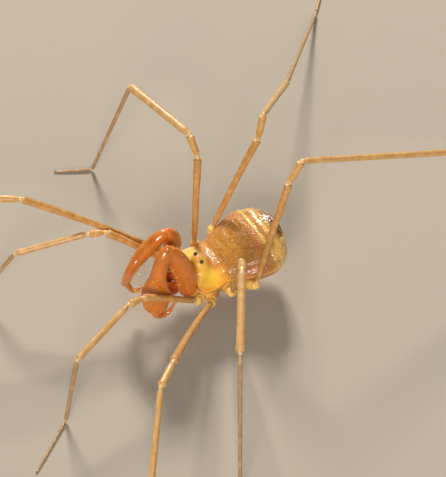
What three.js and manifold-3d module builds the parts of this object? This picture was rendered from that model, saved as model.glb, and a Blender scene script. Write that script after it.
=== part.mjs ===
import * as THREE from 'three';
import { mergeVertices } from 'three/addons/utils/BufferGeometryUtils.js';
import Module from 'manifold-3d';

// An armoured harvestman with swollen, spined pedipalps, standing still at life size.
// Millimetres and degrees. It faces -Y, its left side is +X, and it stands on the plane z = 0.

const wasm = await Module();
wasm.setup();
const { Manifold, Mesh: SolidMesh } = wasm;

// Clearance between touching pieces: small, because the whole body is under 7 mm long.
const GAP = 0.1;

// Body outline, as half widths at places along the body, and its heights above the hips.
const HIP_HEIGHT = 2.4;
const BODY_REAR = 4.68;
const BODY_FRONT = -1.8;
const BODY_OUTLINE = [
  [BODY_REAR, 0],
  [4.54, 1.0],
  [4.08, 1.95],
  [3.25, 2.5],
  [2.3, 2.53],
  [1.2, 2.1],
  [0.3, 1.76],
  [-0.1, 1.68],
  [-0.6, 1.78],
  [-1.3, 1.8],
  [-1.66, 1.52],
  [-1.78, 0.85],
  [BODY_FRONT, 0],
];
const BODY_FULL_WIDTH = 1.5;     // half width from which a section has its full height
const MARGIN_HEIGHT = 0.34;      // side margin of the shield above the hips
const REAR_RISE = { height: 0.42, from: 0.2, to: 4.3 };    // the margin rises to the rear
const SHIELD_TOP = 1.3;          // crown of the abdomen above the margin
const HEAD_TOP = 0.5;            // crown of the head part above the margin
const HEAD_ROOF = 1.6;           // how steeply the head part falls off from its midline
const GROOVE = { y: 0.25, depth: 0.1, width: 0.35 };
const BELLY_DEPTH = 1.55;
const BELLY_INSET = 0.92;        // the belly is a little narrower than the shield over it
const BODY_SIDES = 26;
const BODY_RINGS = 20;

// Cuts between the shield and the free plates behind it, each leaning back from the crown.
const PLATE_CUTS = [3.1, 3.72, 4.2];
const PLATE_LEAN = [14, 33, 50];
const PLATE_CROWN = [4.4, 4.45, 4.1];
const PLATE_NAMES = ['tergite_1', 'tergite_2', 'anal_plate'];

const EYE_MOUND = { y: -1.0, halfLength: 0.8, halfWidth: 0.82, height: 1.16, base: 2.98 };
const EYE = { radius: 0.14, x: 0.36, rise: 4.06 };
const EYE_SIDES = 10;
const EYE_RINGS = 7;

// Each pincer: its root, its reach forwards, how high its knuckle stands over the root, and the
// half sizes of its arm and hand, across and upright.
const CHELICERA = {
  x: 0.38,
  y: -1.95,
  z: 2.85,
  reach: 1.7,
  arch: 0.45,
  arm: [0.36, 0.52],
  hand: [0.37, 0.74],
  finger: 0.45,
};

// Leg segment lengths for the four pairs, and their half thicknesses.
const SEGMENTS = ['femur', 'patella', 'tibia', 'metatarsus', 'tarsus'];
const LEG_LENGTHS = [
  [4.66, 1.09, 4.64, 4.56, 4.0],
  [10.66, 2.04, 7.9, 8.5, 4.3],
  [6.13, 1.54, 5.57, 9.3, 2.3],
  [7.37, 1.65, 10.7, 10.8, 2.9],
];
const LEG_THICKNESS = {
  femur: [0.25, 0.25, 0.33],
  patella: [0.3, 0.28, 0.34],
  tibia: [0.31, 0.26, 0.29],
  metatarsus: [0.26, 0.25, 0.25],
  tarsus: [0.25, 0.24, 0.15],
};
const FEMUR_BOW = 0.05;          // sagitta of a femur as a share of its length
const FOOT_FLAT = 0.04;          // how much of a foot's round underside is flattened on the floor
const TROCHANTER_RADIUS = 0.33;
const TROCHANTER_FLAT = 0.6;      // place of the flat that faces the coxa, as a share of its radius
const LEG_CLAW = { length: 0.34, radius: 0.07, spread: 24 };
const LIMB_SIDES = 10;
const LIMB_RINGS = 6;
const LIMB_ROUND = 0.35;          // length of a limb's rounded ends as a share of its half size

// Hips of the left side as x, y and height over HIP_HEIGHT. The right side mirrors them.
const HIPS = [
  [1.75, -2.09, 0],
  [2.09, -1.38, -0.25],
  [2.24, 0, 0],
  [2.6, 1.46, 0.1],
];
const COXA_SIDES = 10;
const COXA_RINGS = 6;
const COXA_ROUND = 0.6;
const COXAE = [
  { from: [0.5, -0.7, -0.35], half: 0.42 },
  { from: [0.6, -0.3, -0.45], half: 0.42 },
  { from: [0.7, 0.25, -0.45], half: 0.46 },
  { from: [0.8, 0.7, -0.45], half: 0.62 },
];

// Pose of each leg as [yaw, pitch] of femur, patella and tibia, then the yaws of the last two.
// Yaw 0 points straight out to the side and grows forwards. Pitch grows upwards.
const LEG_POSES = {
  left: [
    [[91.7, 35.5], [81.1, 10.5], [72.4, -11.1], [62.6], [54.5]],
    [[45.0, 32.1], [51.2, 3.4], [36.7, -20.3], [36.7], [36.7]],
    [[16.6, 68.7], [31.0, 33.7], [32.6, -9.1], [31.1], [31.1]],
    [[-112.1, 63.4], [-93.8, 56.2], [-81.9, -20.5], [-81.9], [-81.9]],
  ],
  right: [
    [[55.4, 35.4], [66.8, 1.9], [66.5, -14.3], [62.0], [62.0]],
    [[57.4, 29.7], [59.9, 3.4], [59.9, -17.7], [59.9], [59.9]],
    [[-38.0, 69.9], [1.4, 50.9], [9.7, -3.8], [39.4], [62.9]],
    [[-90.9, 64.2], [-55.4, 64.5], [-42.1, -36.9], [-43.3], [-43.3]],
  ],
};

// Pedipalps: the joints of each side, with the left knee held over to the middle.
const PALP_HIP = [1.08, -2.36, 2.5];
const PALP_JOINTS = {
  left: {
    base: [1.2, -2.5, 2.75],
    knee: [0.33, -3.35, 6.84],
    shin: [0.54, -4.05, 5.38],
    wrist: [1.13, -4.71, 2.22],
    fold: [1.17, -3.35, 2.63],
    claw: [1.02, -3.4, 3.03],
  },
  right: {
    base: [-1.2, -2.5, 2.75],
    knee: [-0.87, -2.66, 6.75],
    shin: [-1.12, -3.95, 5.6],
    wrist: [-1.69, -5.15, 2.55],
    fold: [-1.4, -4.3, 1.9],
    claw: [-1.1, -4.0, 1.5],
  },
};
const PALP_FEMUR_BOW = { left: 0.3, right: 0.36 };    // how far each femur bows backwards
const SHIN_SHARE = 0.35;          // place of the shin on the curve from knee to wrist
const PALP_COXA = { from: [0.6, -1.2, -0.2], half: [0.4, 0.38, 0.3] };
const PALP_TROCHANTER = 0.34;
const PALP_SIDES = 16;
const PALP_RINGS = 12;

// Half sizes of the pedipalp segments from base to tip, across their flat side and along it.
const PALP_SHAPE = {
  femur: { across: [0.4, 0.44, 0.44, 0.42, 0.32], along: [0.52, 0.63, 0.66, 0.61, 0.28] },
  patella: { across: [0.32, 0.44, 0.47], along: [0.36, 0.49, 0.47] },
  tibia: { across: [0.47, 0.44, 0.36, 0.3, 0.26], along: [0.47, 0.6, 0.9, 0.84, 0.52] },
  tarsus: { across: [0.25, 0.25, 0.22, 0.16], along: [0.25, 0.25, 0.22, 0.16] },
};
// Way that the flat side of each segment faces, as shares outwards and backwards.
const PALP_FACING = {
  femur: [1, -0.35],
  patella: [0.84, -0.54],
  tibia: [0.84, -0.54],
  tarsus: [0.84, -0.54],
};
const TARSUS_START = [0, 0.12, -0.1];    // from the end of the tibia, outwards, backwards, up
const TARSUS_SAG = { left: 0.6, right: 0.15 };    // how far the middle of each tarsus hangs down
const PALP_CLAW_RADIUS = 0.1;

// Rows of spines: the way they point as shares outwards and backwards, their places along the
// segment, and their length outside it.
const SPINE = { radius: 0.075, sides: 5, root: 0.75, lean: 0.3, shorter: 0.25 };
const SPINE_ROWS = {
  femur: [{ facing: [0.25, -1], from: 0.3, to: 0.62, count: 3, length: 0.3 }],
  patella: [{ facing: [-0.5, 0.6], from: 0.57, to: 0.86, count: 2, length: 0.34 }],
  tibia: [
    { facing: [-1, 0.1], from: 0.26, to: 0.85, count: 4, length: 0.5 },
    { facing: [0.2, 1], from: 0.31, to: 0.69, count: 3, length: 0.26 },
  ],
  tarsus: [{ facing: [-0.8, 0.6], from: 0.3, to: 0.8, count: 3, length: 0.26 }],
};

// Surface colours, roughness and metalness.
const finish = (color, roughness) =>
  new THREE.MeshStandardMaterial({ color, roughness, metalness: 0 });
const MATERIALS = {
  shield: finish(0xb5702f, 0.35),
  plate: finish(0xc48238, 0.35),
  belly: finish(0xc98a45, 0.45),
  palp: finish(0xb8601f, 0.2),
  leg: finish(0xcf9a55, 0.45),
  leg_end: finish(0xb99263, 0.55),
  eye: finish(0x0a0706, 0.1),
};

const UP = new THREE.Vector3(0, 0, 1);
const vec = (p) => new THREE.Vector3(...p);
const rad = THREE.MathUtils.degToRad;
const lerp = THREE.MathUtils.lerp;
const smooth = THREE.MathUtils.smoothstep;

// Closed solids from geometry, and back

function solid(geometry) {
  const bare = geometry.clone();
  bare.deleteAttribute('normal');
  bare.deleteAttribute('uv');
  const merged = mergeVertices(bare, 1e-4);
  return new Manifold(new SolidMesh({
    numProp: 3,
    vertProperties: new Float32Array(merged.attributes.position.array),
    triVerts: new Uint32Array(merged.index.array),
  }));
}

function join(pieces) {
  return pieces.reduce((whole, piece) => whole.add(piece));
}

// Keeps the side of the plane through `point` that `normal` points to.
function keep(body, normal, point) {
  const n = normal.clone().normalize();
  return body.trimByPlane(n.toArray(), n.dot(point));
}

function largest(body) {
  return body.decompose().reduce((best, piece) =>
    (Math.abs(piece.volume()) > Math.abs(best.volume()) ? piece : best));
}

function node(name, body, material) {
  const { vertProperties, triVerts } = largest(body).getMesh();
  const geometry = new THREE.BufferGeometry();
  geometry.setAttribute('position', new THREE.BufferAttribute(vertProperties, 3));
  geometry.setIndex(new THREE.BufferAttribute(triVerts, 1));
  geometry.computeVertexNormals();
  const mesh = new THREE.Mesh(geometry, material);
  mesh.name = name;
  return mesh;
}

function ball(centre, half, sides = 12, rings = 7) {
  const geometry = new THREE.SphereGeometry(1, sides, rings);
  geometry.scale(...half);
  geometry.translate(...centre);
  return solid(geometry);
}

function round(centre, radius, sides, rings) {
  return ball(centre, [radius, radius, radius], sides, rings);
}

// A limb is a round form swept along a curve. `across` and `along` are its half sizes at evenly
// spaced places, `hint` is the direction that its first half size lies in.
class Limb {
  constructor(curve, across, along, hint) {
    this.curve = curve;
    this.hint = hint;
    this.length = curve.getLength();
    this.acrossAt = (t) => sample(across, t);
    this.alongAt = (t) => sample(along, t);
  }

  frame(t) {
    const tangent = this.curve.getTangentAt(THREE.MathUtils.clamp(t, 0, 1));
    const side = this.hint.clone().addScaledVector(tangent, -this.hint.dot(tangent)).normalize();
    const depth = new THREE.Vector3().crossVectors(tangent, side);
    return { centre: this.curve.getPointAt(THREE.MathUtils.clamp(t, 0, 1)), tangent, side, depth };
  }

  // Point on the surface at place t and angle round the limb, with `swell` as a share of its size.
  surface(t, angle, swell = 1) {
    const { centre, side, depth } = this.frame(t);
    return centre
      .addScaledVector(side, Math.cos(angle) * this.acrossAt(t) * swell)
      .addScaledVector(depth, Math.sin(angle) * this.alongAt(t) * swell);
  }

  // Distance from the middle line to the surface at place t, along a direction across the limb.
  reach(t, direction) {
    const { side, depth } = this.frame(t);
    const across = direction.dot(side) / this.acrossAt(t);
    const along = direction.dot(depth) / this.alongAt(t);
    return 1 / Math.hypot(across, along);
  }

  // The closed form, with ends that round off over `round` of its half size.
  solid(sides, rings, round = 1) {
    const geometry = new THREE.SphereGeometry(1, sides, rings);
    const place = geometry.attributes.position;
    for (let i = 0; i < place.count; i += 1) {
      const along = (1 - place.getY(i)) / 2;
      const angle = Math.atan2(place.getZ(i), place.getX(i));
      const reach = Math.min(along, 1 - along) * this.length;
      const half = (this.acrossAt(along) + this.alongAt(along)) / 2;
      const share = Math.min(1, reach / (half * round));
      const point = this.surface(along, angle, Math.sqrt(1 - (1 - share) ** 2));
      place.setXYZ(i, point.x, point.y, point.z);
    }
    return solid(geometry);
  }
}

// Value at t in a list of evenly spaced values, eased between them.
function sample(values, t) {
  const place = THREE.MathUtils.clamp(t, 0, 1) * (values.length - 1);
  const index = Math.min(Math.floor(place), values.length - 2);
  return lerp(values[index], values[index + 1], smooth(place - index, 0, 1));
}

// A tapered spine that grows from a point under the surface.
function spine(root, direction, length, radius = SPINE.radius) {
  const geometry = new THREE.ConeGeometry(radius, length, SPINE.sides);
  geometry.translate(0, length / 2, 0);
  geometry.applyQuaternion(new THREE.Quaternion()
    .setFromUnitVectors(new THREE.Vector3(0, 1, 0), direction.clone().normalize()));
  geometry.translate(root.x, root.y, root.z);
  return solid(geometry);
}

// Body

const outline = new THREE.SplineCurve(BODY_OUTLINE.map(([y, half]) => new THREE.Vector2(y, half)));

function marginAt(y) {
  return HIP_HEIGHT + MARGIN_HEIGHT + REAR_RISE.height * smooth(y, REAR_RISE.from, REAR_RISE.to);
}

function crownAt(y) {
  const dip = GROOVE.depth * Math.exp(-(((y - GROOVE.y) / GROOVE.width) ** 2));
  return lerp(HEAD_TOP, SHIELD_TOP, smooth(y, -1.6, 2.9)) - dip;
}

// 1 where a section is round, as on the abdomen, and more where it is roof-shaped.
function roofAt(y) {
  return lerp(HEAD_ROOF, 1, smooth(y, -0.6, 1.4));
}

// The whole rounded form of the body, or its belly with a narrower outline.
function bodyForm(inset) {
  const geometry = new THREE.SphereGeometry(1, BODY_SIDES, BODY_RINGS);
  const place = geometry.attributes.position;
  for (let i = 0; i < place.count; i += 1) {
    const ring = Math.acos(THREE.MathUtils.clamp(place.getY(i), -1, 1)) / Math.PI;
    const angle = Math.atan2(place.getZ(i), place.getX(i));
    const at = outline.getPoint(ring);
    const half = Math.max(at.y, 0);
    const full = Math.sin(Math.min(1, half / BODY_FULL_WIDTH) * Math.PI / 2);
    const rise = Math.sin(angle) > 0 ? crownAt(at.x) : BELLY_DEPTH;
    const steep = Math.sin(angle) > 0 ? roofAt(at.x) : 1;
    const height = Math.sign(Math.sin(angle)) * Math.abs(Math.sin(angle)) ** steep * rise * full;
    place.setXYZ(i, Math.cos(angle) * half * inset, at.x, marginAt(at.x) + height);
  }
  return solid(geometry);
}

function cutPlane(index) {
  const lean = rad(PLATE_LEAN[index]);
  return {
    normal: new THREE.Vector3(0, Math.cos(lean), Math.sin(lean)),
    point: new THREE.Vector3(0, PLATE_CUTS[index], PLATE_CROWN[index]),
  };
}

// The part of the form in front of one cut and behind another, each drawn back by half a gap.
function between(form, front, back) {
  let body = form;
  if (front !== null) {
    const { normal, point } = cutPlane(front);
    body = keep(body, normal, point.clone().addScaledVector(normal, GAP / 2));
  }
  if (back !== null) {
    const { normal, point } = cutPlane(back);
    body = keep(body, normal.clone().negate(), point.clone().addScaledVector(normal, -GAP / 2));
  }
  return body;
}

function buildShield(group) {
  const seam = new THREE.Vector3(0, 0, HIP_HEIGHT + MARGIN_HEIGHT - 0.02);
  const form = bodyForm(1);
  const upper = keep(form, UP, seam);
  const mound = ball(
    [0, EYE_MOUND.y, EYE_MOUND.base],
    [EYE_MOUND.halfWidth, EYE_MOUND.halfLength, EYE_MOUND.height],
    14,
    10,
  );
  let shield = between(upper, null, 0).add(mound);
  shield = keep(shield, UP, seam);
  for (const side of [1, -1]) {
    const centre = [side * EYE.x, EYE_MOUND.y, EYE.rise];
    const socket = EYE.radius + GAP / 2;
    shield = shield.subtract(ball(centre, [socket, socket, socket], EYE_SIDES, EYE_RINGS));
    const eye = ball(centre, [EYE.radius, EYE.radius, EYE.radius], EYE_SIDES, EYE_RINGS);
    group.add(node(side > 0 ? 'eye_left' : 'eye_right', eye, MATERIALS.eye));
  }
  group.add(node('shield', shield, MATERIALS.shield));
  PLATE_NAMES.forEach((name, i) => {
    const last = i === PLATE_NAMES.length - 1;
    const source = last ? keep(form, UP, new THREE.Vector3(0, 0, 1.9)) : upper;
    group.add(node(name, between(source, i, last ? null : i + 1), MATERIALS.plate));
  });
}

function hip(pair, side) {
  const [x, y, rise] = HIPS[pair];
  return new THREE.Vector3(side * x, y, HIP_HEIGHT + rise);
}

// Direction from the root of a coxa to its hip.
function coxaAxis(pair, side) {
  const [x, y, rise] = COXAE[pair].from;
  return hip(pair, side).sub(new THREE.Vector3(side * x, y, HIP_HEIGHT + rise));
}

// A coxa ends in a flat face that its trochanter sits on.
function coxa(limb, centre, axis, radius) {
  const face = centre.clone().addScaledVector(axis, -radius * TROCHANTER_FLAT - GAP);
  return keep(limb.solid(COXA_SIDES, COXA_RINGS, COXA_ROUND), axis.clone().negate(), face);
}

// The round first segment on which a limb turns, flattened where it faces its coxa.
function knob(centre, axis, radius) {
  const face = centre.clone().addScaledVector(axis, -radius * TROCHANTER_FLAT);
  return keep(round(centre.toArray(), radius), axis, face);
}

function buildUnderside(group) {
  const pieces = [bodyForm(BELLY_INSET)];
  for (const side of [1, -1]) {
    COXAE.forEach(({ from, half }, pair) => {
      const axis = coxaAxis(pair, side);
      const start = new THREE.Vector3(side * from[0], from[1], HIP_HEIGHT + from[2]);
      const curve = new THREE.LineCurve3(start, hip(pair, side));
      const limb = new Limb(curve, [half, half, TROCHANTER_RADIUS], [half, half, TROCHANTER_RADIUS],
        UP);
      pieces.push(coxa(limb, hip(pair, side), axis.normalize(), TROCHANTER_RADIUS));
    });
    const { from, half } = PALP_COXA;
    const root = new THREE.Vector3(side * from[0], from[1], HIP_HEIGHT + from[2]);
    const lobe = new Limb(new THREE.LineCurve3(root, palpHip(side)), half, half, UP);
    const axis = palpHip(side).sub(root).normalize();
    pieces.push(coxa(lobe, palpHip(side), axis, PALP_TROCHANTER));
  }
  let body = join(pieces);
  body = keep(body, new THREE.Vector3(0, 0, -1),
    new THREE.Vector3(0, 0, HIP_HEIGHT + MARGIN_HEIGHT - 0.02 - GAP));
  const { normal, point } = cutPlane(2);
  body = keep(body, normal.clone().negate(), point.clone().addScaledVector(normal, -GAP / 2));
  group.add(node('underside', body, MATERIALS.belly));
}

function buildChelicera(side) {
  const { x, y, z, reach, arch, arm, hand, finger } = CHELICERA;
  const root = new THREE.Vector3(side * x, y, z);
  const knuckle = new THREE.Vector3(side * x * 1.05, y - reach * 0.55, z + arch);
  const wrist = new THREE.Vector3(side * x * 1.05, y - reach, z - 0.35);
  const [armWide, armTall] = arm.map((half) => [half * 0.7, half, half]);
  const [handWide, handTall] = hand.map((half) => [half * 0.8, half, half * 0.6]);
  const aside = new THREE.Vector3(1, 0, 0);
  const down = new THREE.Vector3(0, -0.25, -1);
  const pieces = [
    new Limb(new THREE.LineCurve3(root, knuckle), armWide, armTall, aside).solid(10, 8, 0.8),
    new Limb(new THREE.LineCurve3(knuckle, wrist), handWide, handTall, aside).solid(10, 8, 1),
  ];
  for (const spread of [-1, 1]) {
    const tip = down.clone().add(new THREE.Vector3(-side * 0.2, spread * 0.3, 0));
    const base = wrist.clone().add(new THREE.Vector3(0, spread * 0.08, 0.14));
    pieces.push(spine(base, tip, finger, 0.13));
  }
  const { femur } = palpLimbs(side, palpJoints(side));
  return join(pieces).subtract(grown(femur, PALP_SHAPE.femur).solid(PALP_SIDES, PALP_RINGS, 0.75));
}

// Pedipalps

const PALP_SEGMENTS = ['femur', 'patella', 'tibia', 'tarsus'];

// A direction of one side from its shares outwards, backwards and up.
function outwards(side, [out, back, up = 0]) {
  return new THREE.Vector3(side * out, back, up);
}

function palpJoints(side) {
  const places = PALP_JOINTS[side > 0 ? 'left' : 'right'];
  return Object.fromEntries(Object.entries(places).map(([name, p]) => [name, vec(p)]));
}

function bowed(from, to, shift) {
  const middle = from.clone().add(to).multiplyScalar(0.5).addScaledVector(shift, 2);
  return new THREE.QuadraticBezierCurve3(from, middle, to);
}

// The patella and the tibia lie on one smooth curve from the knee over the shin to the wrist.
function shankCurves({ knee, shin, wrist }) {
  const at = SHIN_SHARE;
  const bend = shin.clone()
    .addScaledVector(knee, -((1 - at) ** 2))
    .addScaledVector(wrist, -(at ** 2))
    .divideScalar(2 * at * (1 - at));
  return {
    patella: new THREE.QuadraticBezierCurve3(knee, knee.clone().lerp(bend, at), shin),
    tibia: new THREE.QuadraticBezierCurve3(shin, bend.clone().lerp(wrist, at), wrist),
  };
}

function palpLimbs(side, joints) {
  const sideName = side > 0 ? 'left' : 'right';
  const start = joints.wrist.clone().add(outwards(side, TARSUS_START));
  const curves = {
    femur: bowed(joints.base, joints.knee, outwards(side, [0, PALP_FEMUR_BOW[sideName]])),
    ...shankCurves(joints),
    tarsus: bowed(start, joints.fold, outwards(side, [0, 0, -TARSUS_SAG[sideName]])),
  };
  return Object.fromEntries(PALP_SEGMENTS.map((name) => {
    const { across, along } = PALP_SHAPE[name];
    return [name, new Limb(curves[name], across, along, outwards(side, PALP_FACING[name]))];
  }));
}

// The same limb, larger by the clearance that its neighbours keep.
function grown(limb, { across, along }) {
  const wider = (sizes) => sizes.map((half) => half + GAP);
  return new Limb(limb.curve, wider(across), wider(along), limb.hint);
}

function buildPalp(group, sideName) {
  const side = sideName === 'left' ? 1 : -1;
  const joints = palpJoints(side);
  const limbs = palpLimbs(side, joints);
  const bodies = {};
  for (const name of PALP_SEGMENTS) {
    const form = limbs[name].solid(PALP_SIDES, PALP_RINGS, name === 'tarsus' ? 1 : 0.75);
    bodies[name] = join([form, ...palpSpines(limbs[name], SPINE_ROWS[name], side)]);
  }
  const knee = mitre(limbs.femur, limbs.patella, joints.knee);
  const shin = mitre(limbs.patella, limbs.tibia, joints.shin);
  bodies.femur = trimEnd(bodies.femur, knee, -1);
  bodies.patella = trimEnd(trimEnd(bodies.patella, knee, 1), shin, -1);
  bodies.tibia = trimEnd(bodies.tibia, shin, 1);

  // The tarsus grows from a hollow in the end of the tibia and folds back up behind it.
  const hollow = grown(limbs.tarsus, PALP_SHAPE.tarsus).solid(PALP_SIDES, PALP_RINGS, 1);
  bodies.tibia = bodies.tibia.subtract(hollow);
  const claw = joints.claw.clone().sub(joints.fold);
  bodies.tarsus = bodies.tarsus.add(spine(joints.fold, claw, claw.length(), PALP_CLAW_RADIUS));

  const [x, y, z] = PALP_COXA.from;
  const hipAxis = palpHip(side).sub(new THREE.Vector3(side * x, y, HIP_HEIGHT + z)).normalize();
  const trochanter = knob(palpHip(side), hipAxis, PALP_TROCHANTER);
  bodies.femur = bodies.femur.subtract(round(palpHip(side).toArray(), PALP_TROCHANTER + GAP));
  group.add(node(`pedipalp_${sideName}_trochanter`, trochanter, MATERIALS.leg));
  for (const name of PALP_SEGMENTS) {
    group.add(node(`pedipalp_${sideName}_${name}`, bodies[name], MATERIALS.palp));
  }
}

function palpHip(side) {
  const [x, y, z] = PALP_HIP;
  return new THREE.Vector3(side * x, y, z);
}

function palpSpines(limb, rows, side) {
  return rows.flatMap(({ facing, from, to, count, length }) =>
    Array.from({ length: count }, (_, i) => {
      const t = lerp(from, to, i / (count - 1));
      const { centre, tangent } = limb.frame(t);
      const out = outwards(side, facing);
      out.addScaledVector(tangent, -out.dot(tangent)).normalize();
      const surface = limb.reach(t, out);
      const root = centre.addScaledVector(out, surface * SPINE.root);
      const outside = length * (i % 2 ? 1 - SPINE.shorter : 1);
      return spine(root, out.addScaledVector(tangent, SPINE.lean), outside + surface * (1 - SPINE.root));
    }));
}

// The plane that halves the bend between two limbs that meet at a joint.
function mitre(before, after, point) {
  const normal = before.frame(1).tangent.add(after.frame(0).tangent).normalize();
  return { normal, point };
}

// Cuts a limb at the plane of a joint, half a gap short of it. Sign 1 keeps the far side.
function trimEnd(body, { normal, point }, sign) {
  const out = normal.clone().multiplyScalar(sign);
  return keep(body, out, point.clone().addScaledVector(out, GAP / 2));
}

// Legs

function heading(side, yaw, pitch) {
  return new THREE.Vector3(
    side * Math.cos(yaw) * Math.cos(pitch),
    -Math.sin(yaw) * Math.cos(pitch),
    Math.sin(pitch),
  );
}

// Joint points of one leg from hip to claw. The metatarsus is pitched to bring the foot down.
function legJoints(pair, sideName) {
  const side = sideName === 'left' ? 1 : -1;
  const pose = LEG_POSES[sideName][pair];
  const lengths = LEG_LENGTHS[pair];
  const ankleHeight = LEG_THICKNESS.tarsus[0] - FOOT_FLAT;
  const tipHeight = LEG_THICKNESS.tarsus[2] - FOOT_FLAT;
  const points = [hip(pair, side)];
  SEGMENTS.forEach((name, i) => {
    const from = points[i];
    let pitch;
    if (name === 'metatarsus') pitch = Math.asin((ankleHeight - from.z) / lengths[i]);
    else if (name === 'tarsus') pitch = Math.asin((tipHeight - from.z) / lengths[i]);
    else pitch = rad(pose[i][1]);
    points.push(from.clone().addScaledVector(heading(side, rad(pose[i][0]), pitch), lengths[i]));
  });
  return points;
}

function segmentCurve(name, from, to) {
  const middle = from.clone().add(to).multiplyScalar(0.5);
  if (name === 'femur') middle.z += 2 * FEMUR_BOW * from.distanceTo(to) * 0.5;
  return new THREE.QuadraticBezierCurve3(from, middle, to);
}

function buildLeg(group, pair, sideName) {
  const side = sideName === 'left' ? 1 : -1;
  const points = legJoints(pair, sideName);
  const across = points.at(-1).clone().sub(points[0]).setZ(0).cross(UP).normalize();
  const limbs = SEGMENTS.map((name, i) =>
    new Limb(segmentCurve(name, points[i], points[i + 1]), LEG_THICKNESS[name], LEG_THICKNESS[name],
      across));
  const joints = limbs.slice(1).map((limb, i) => mitre(limbs[i], limb, points[i + 1]));
  SEGMENTS.forEach((name, i) => {
    let body = limbs[i].solid(LIMB_SIDES, LIMB_RINGS, LIMB_ROUND);
    if (i > 0) body = trimEnd(body, joints[i - 1], 1);
    if (i < joints.length) body = trimEnd(body, joints[i], -1);
    if (name === 'femur') {
      body = body.add(knob(points[0], coxaAxis(pair, side).normalize(), TROCHANTER_RADIUS));
    }
    if (name === 'tarsus') body = foot(body, limbs[i], pair);
    group.add(node(`leg_${pair + 1}_${sideName}_${name}`, body,
      i < 3 ? MATERIALS.leg : MATERIALS.leg_end));
  });
}

// The foot lies on the floor on a narrow flat and ends in one claw, or two on the hind pairs.
function foot(body, limb, pair) {
  const { centre, tangent } = limb.frame(0.985);
  const spread = pair < 2 ? [0] : [-LEG_CLAW.spread, LEG_CLAW.spread];
  const claws = spread.map((turn) => {
    const out = tangent.clone().applyAxisAngle(UP, rad(turn));
    out.z = 0;
    const root = centre.clone().addScaledVector(tangent, -0.06);
    root.z = Math.max(root.z, LEG_CLAW.radius);
    return spine(root, out, LEG_CLAW.length, LEG_CLAW.radius);
  });
  return keep(join([body, ...claws]), UP, new THREE.Vector3());
}

// Assembly

const harvestman = new THREE.Group();
buildShield(harvestman);
buildUnderside(harvestman);
for (const sideName of ['left', 'right']) {
  const side = sideName === 'left' ? 1 : -1;
  harvestman.add(node(`chelicera_${sideName}`, buildChelicera(side), MATERIALS.palp));
  buildPalp(harvestman, sideName);
  for (let pair = 0; pair < HIPS.length; pair += 1) {
    buildLeg(harvestman, pair, sideName);
  }
}

// The origin is the middle of the bounding box, on the floor.
const box = new THREE.Box3().setFromObject(harvestman);
const middle = box.getCenter(new THREE.Vector3());
harvestman.position.set(-middle.x, -middle.y, -box.min.z);

export default harvestman;
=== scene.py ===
"""A life-size armoured harvestman with swollen pedipalps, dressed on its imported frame.

Lengths in the classes are millimetres in the animal's own frame: it faces -Y, its left side is
+X, the floor is z = 0, and x = y = 0 is the middle of the body in line with the third hips.
Every finished mesh is in metres in the shared frame.
"""
import logging
import math
import random
from bisect import bisect_left
from dataclasses import dataclass, field
from enum import Enum
from functools import cached_property
from typing import Callable, Iterable, Sequence

import bmesh
import bpy
from bmesh.types import BMEdge, BMesh, BMVert
from mathutils import Matrix, Quaternion, Vector, noise


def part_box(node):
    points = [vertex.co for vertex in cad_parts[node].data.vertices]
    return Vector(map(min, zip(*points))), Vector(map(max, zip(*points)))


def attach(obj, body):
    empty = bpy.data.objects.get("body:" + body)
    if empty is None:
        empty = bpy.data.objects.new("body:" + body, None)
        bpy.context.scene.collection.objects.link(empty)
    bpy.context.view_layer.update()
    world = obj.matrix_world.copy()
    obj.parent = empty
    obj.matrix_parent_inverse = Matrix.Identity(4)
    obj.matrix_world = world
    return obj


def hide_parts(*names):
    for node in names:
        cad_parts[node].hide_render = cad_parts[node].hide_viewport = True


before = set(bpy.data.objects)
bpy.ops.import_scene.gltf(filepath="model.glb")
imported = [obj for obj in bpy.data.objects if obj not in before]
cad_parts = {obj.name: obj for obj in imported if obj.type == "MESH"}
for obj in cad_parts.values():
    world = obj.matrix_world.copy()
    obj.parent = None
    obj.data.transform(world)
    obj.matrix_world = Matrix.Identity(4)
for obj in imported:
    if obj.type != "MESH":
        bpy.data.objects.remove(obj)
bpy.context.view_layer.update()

log = logging.getLogger("harvestman")

MM = 0.001
ROOT = "root"
COLOUR = "cuticle_colour"
BAKE_MAP = "OFBake"
SHIELD_FRONT = -1.8
HIP_HEIGHT = 2.4
TURN = math.tau
UP = Vector((0.0, 0.0, 1.0))
Rgb = tuple[float, float, float]
Knots = Sequence[tuple[float, float]]
Paint = Callable[[Vector], Rgb]
Laid = list[tuple[BMVert, float, float]]
Row = tuple[Vector, float, int, float]
Span = tuple[float, float]


class Side(Enum):
    """Left or right half of the animal, with the sign of its x."""

    LEFT = 1
    RIGHT = -1

    @property
    def label(self) -> str:
        """The side's word in the names of nodes and pieces."""
        return self.name.lower()

    def outwards(self, out: float, back: float, up: float = 0.0) -> Vector:
        """A vector from its shares away from the midline, towards the rear and up."""
        return Vector((self.value * out, back, up))


class Segment(Enum):
    """The five segments of a leg, in order from the body."""

    FEMUR = 0
    PATELLA = 1
    TIBIA = 2
    METATARSUS = 3
    TARSUS = 4

    @property
    def label(self) -> str:
        """The segment's word in the names of nodes."""
        return self.name.lower()


def ease(low: float, high: float, value: float) -> float:
    """Smooth step from 0 where the value is low to 1 where it is high."""
    share = min(1.0, max(0.0, (value - low) / (high - low)))
    return share * share * (3.0 - 2.0 * share)


def mix(a: float, b: float, share: float) -> float:
    """The value at a share of the way from a to b."""
    return a + (b - a) * share


def bell(value: float, centre: float, width: float) -> float:
    """A smooth bump of height 1 at centre, falling off over width."""
    return math.exp(-(((value - centre) / width) ** 2))


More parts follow.
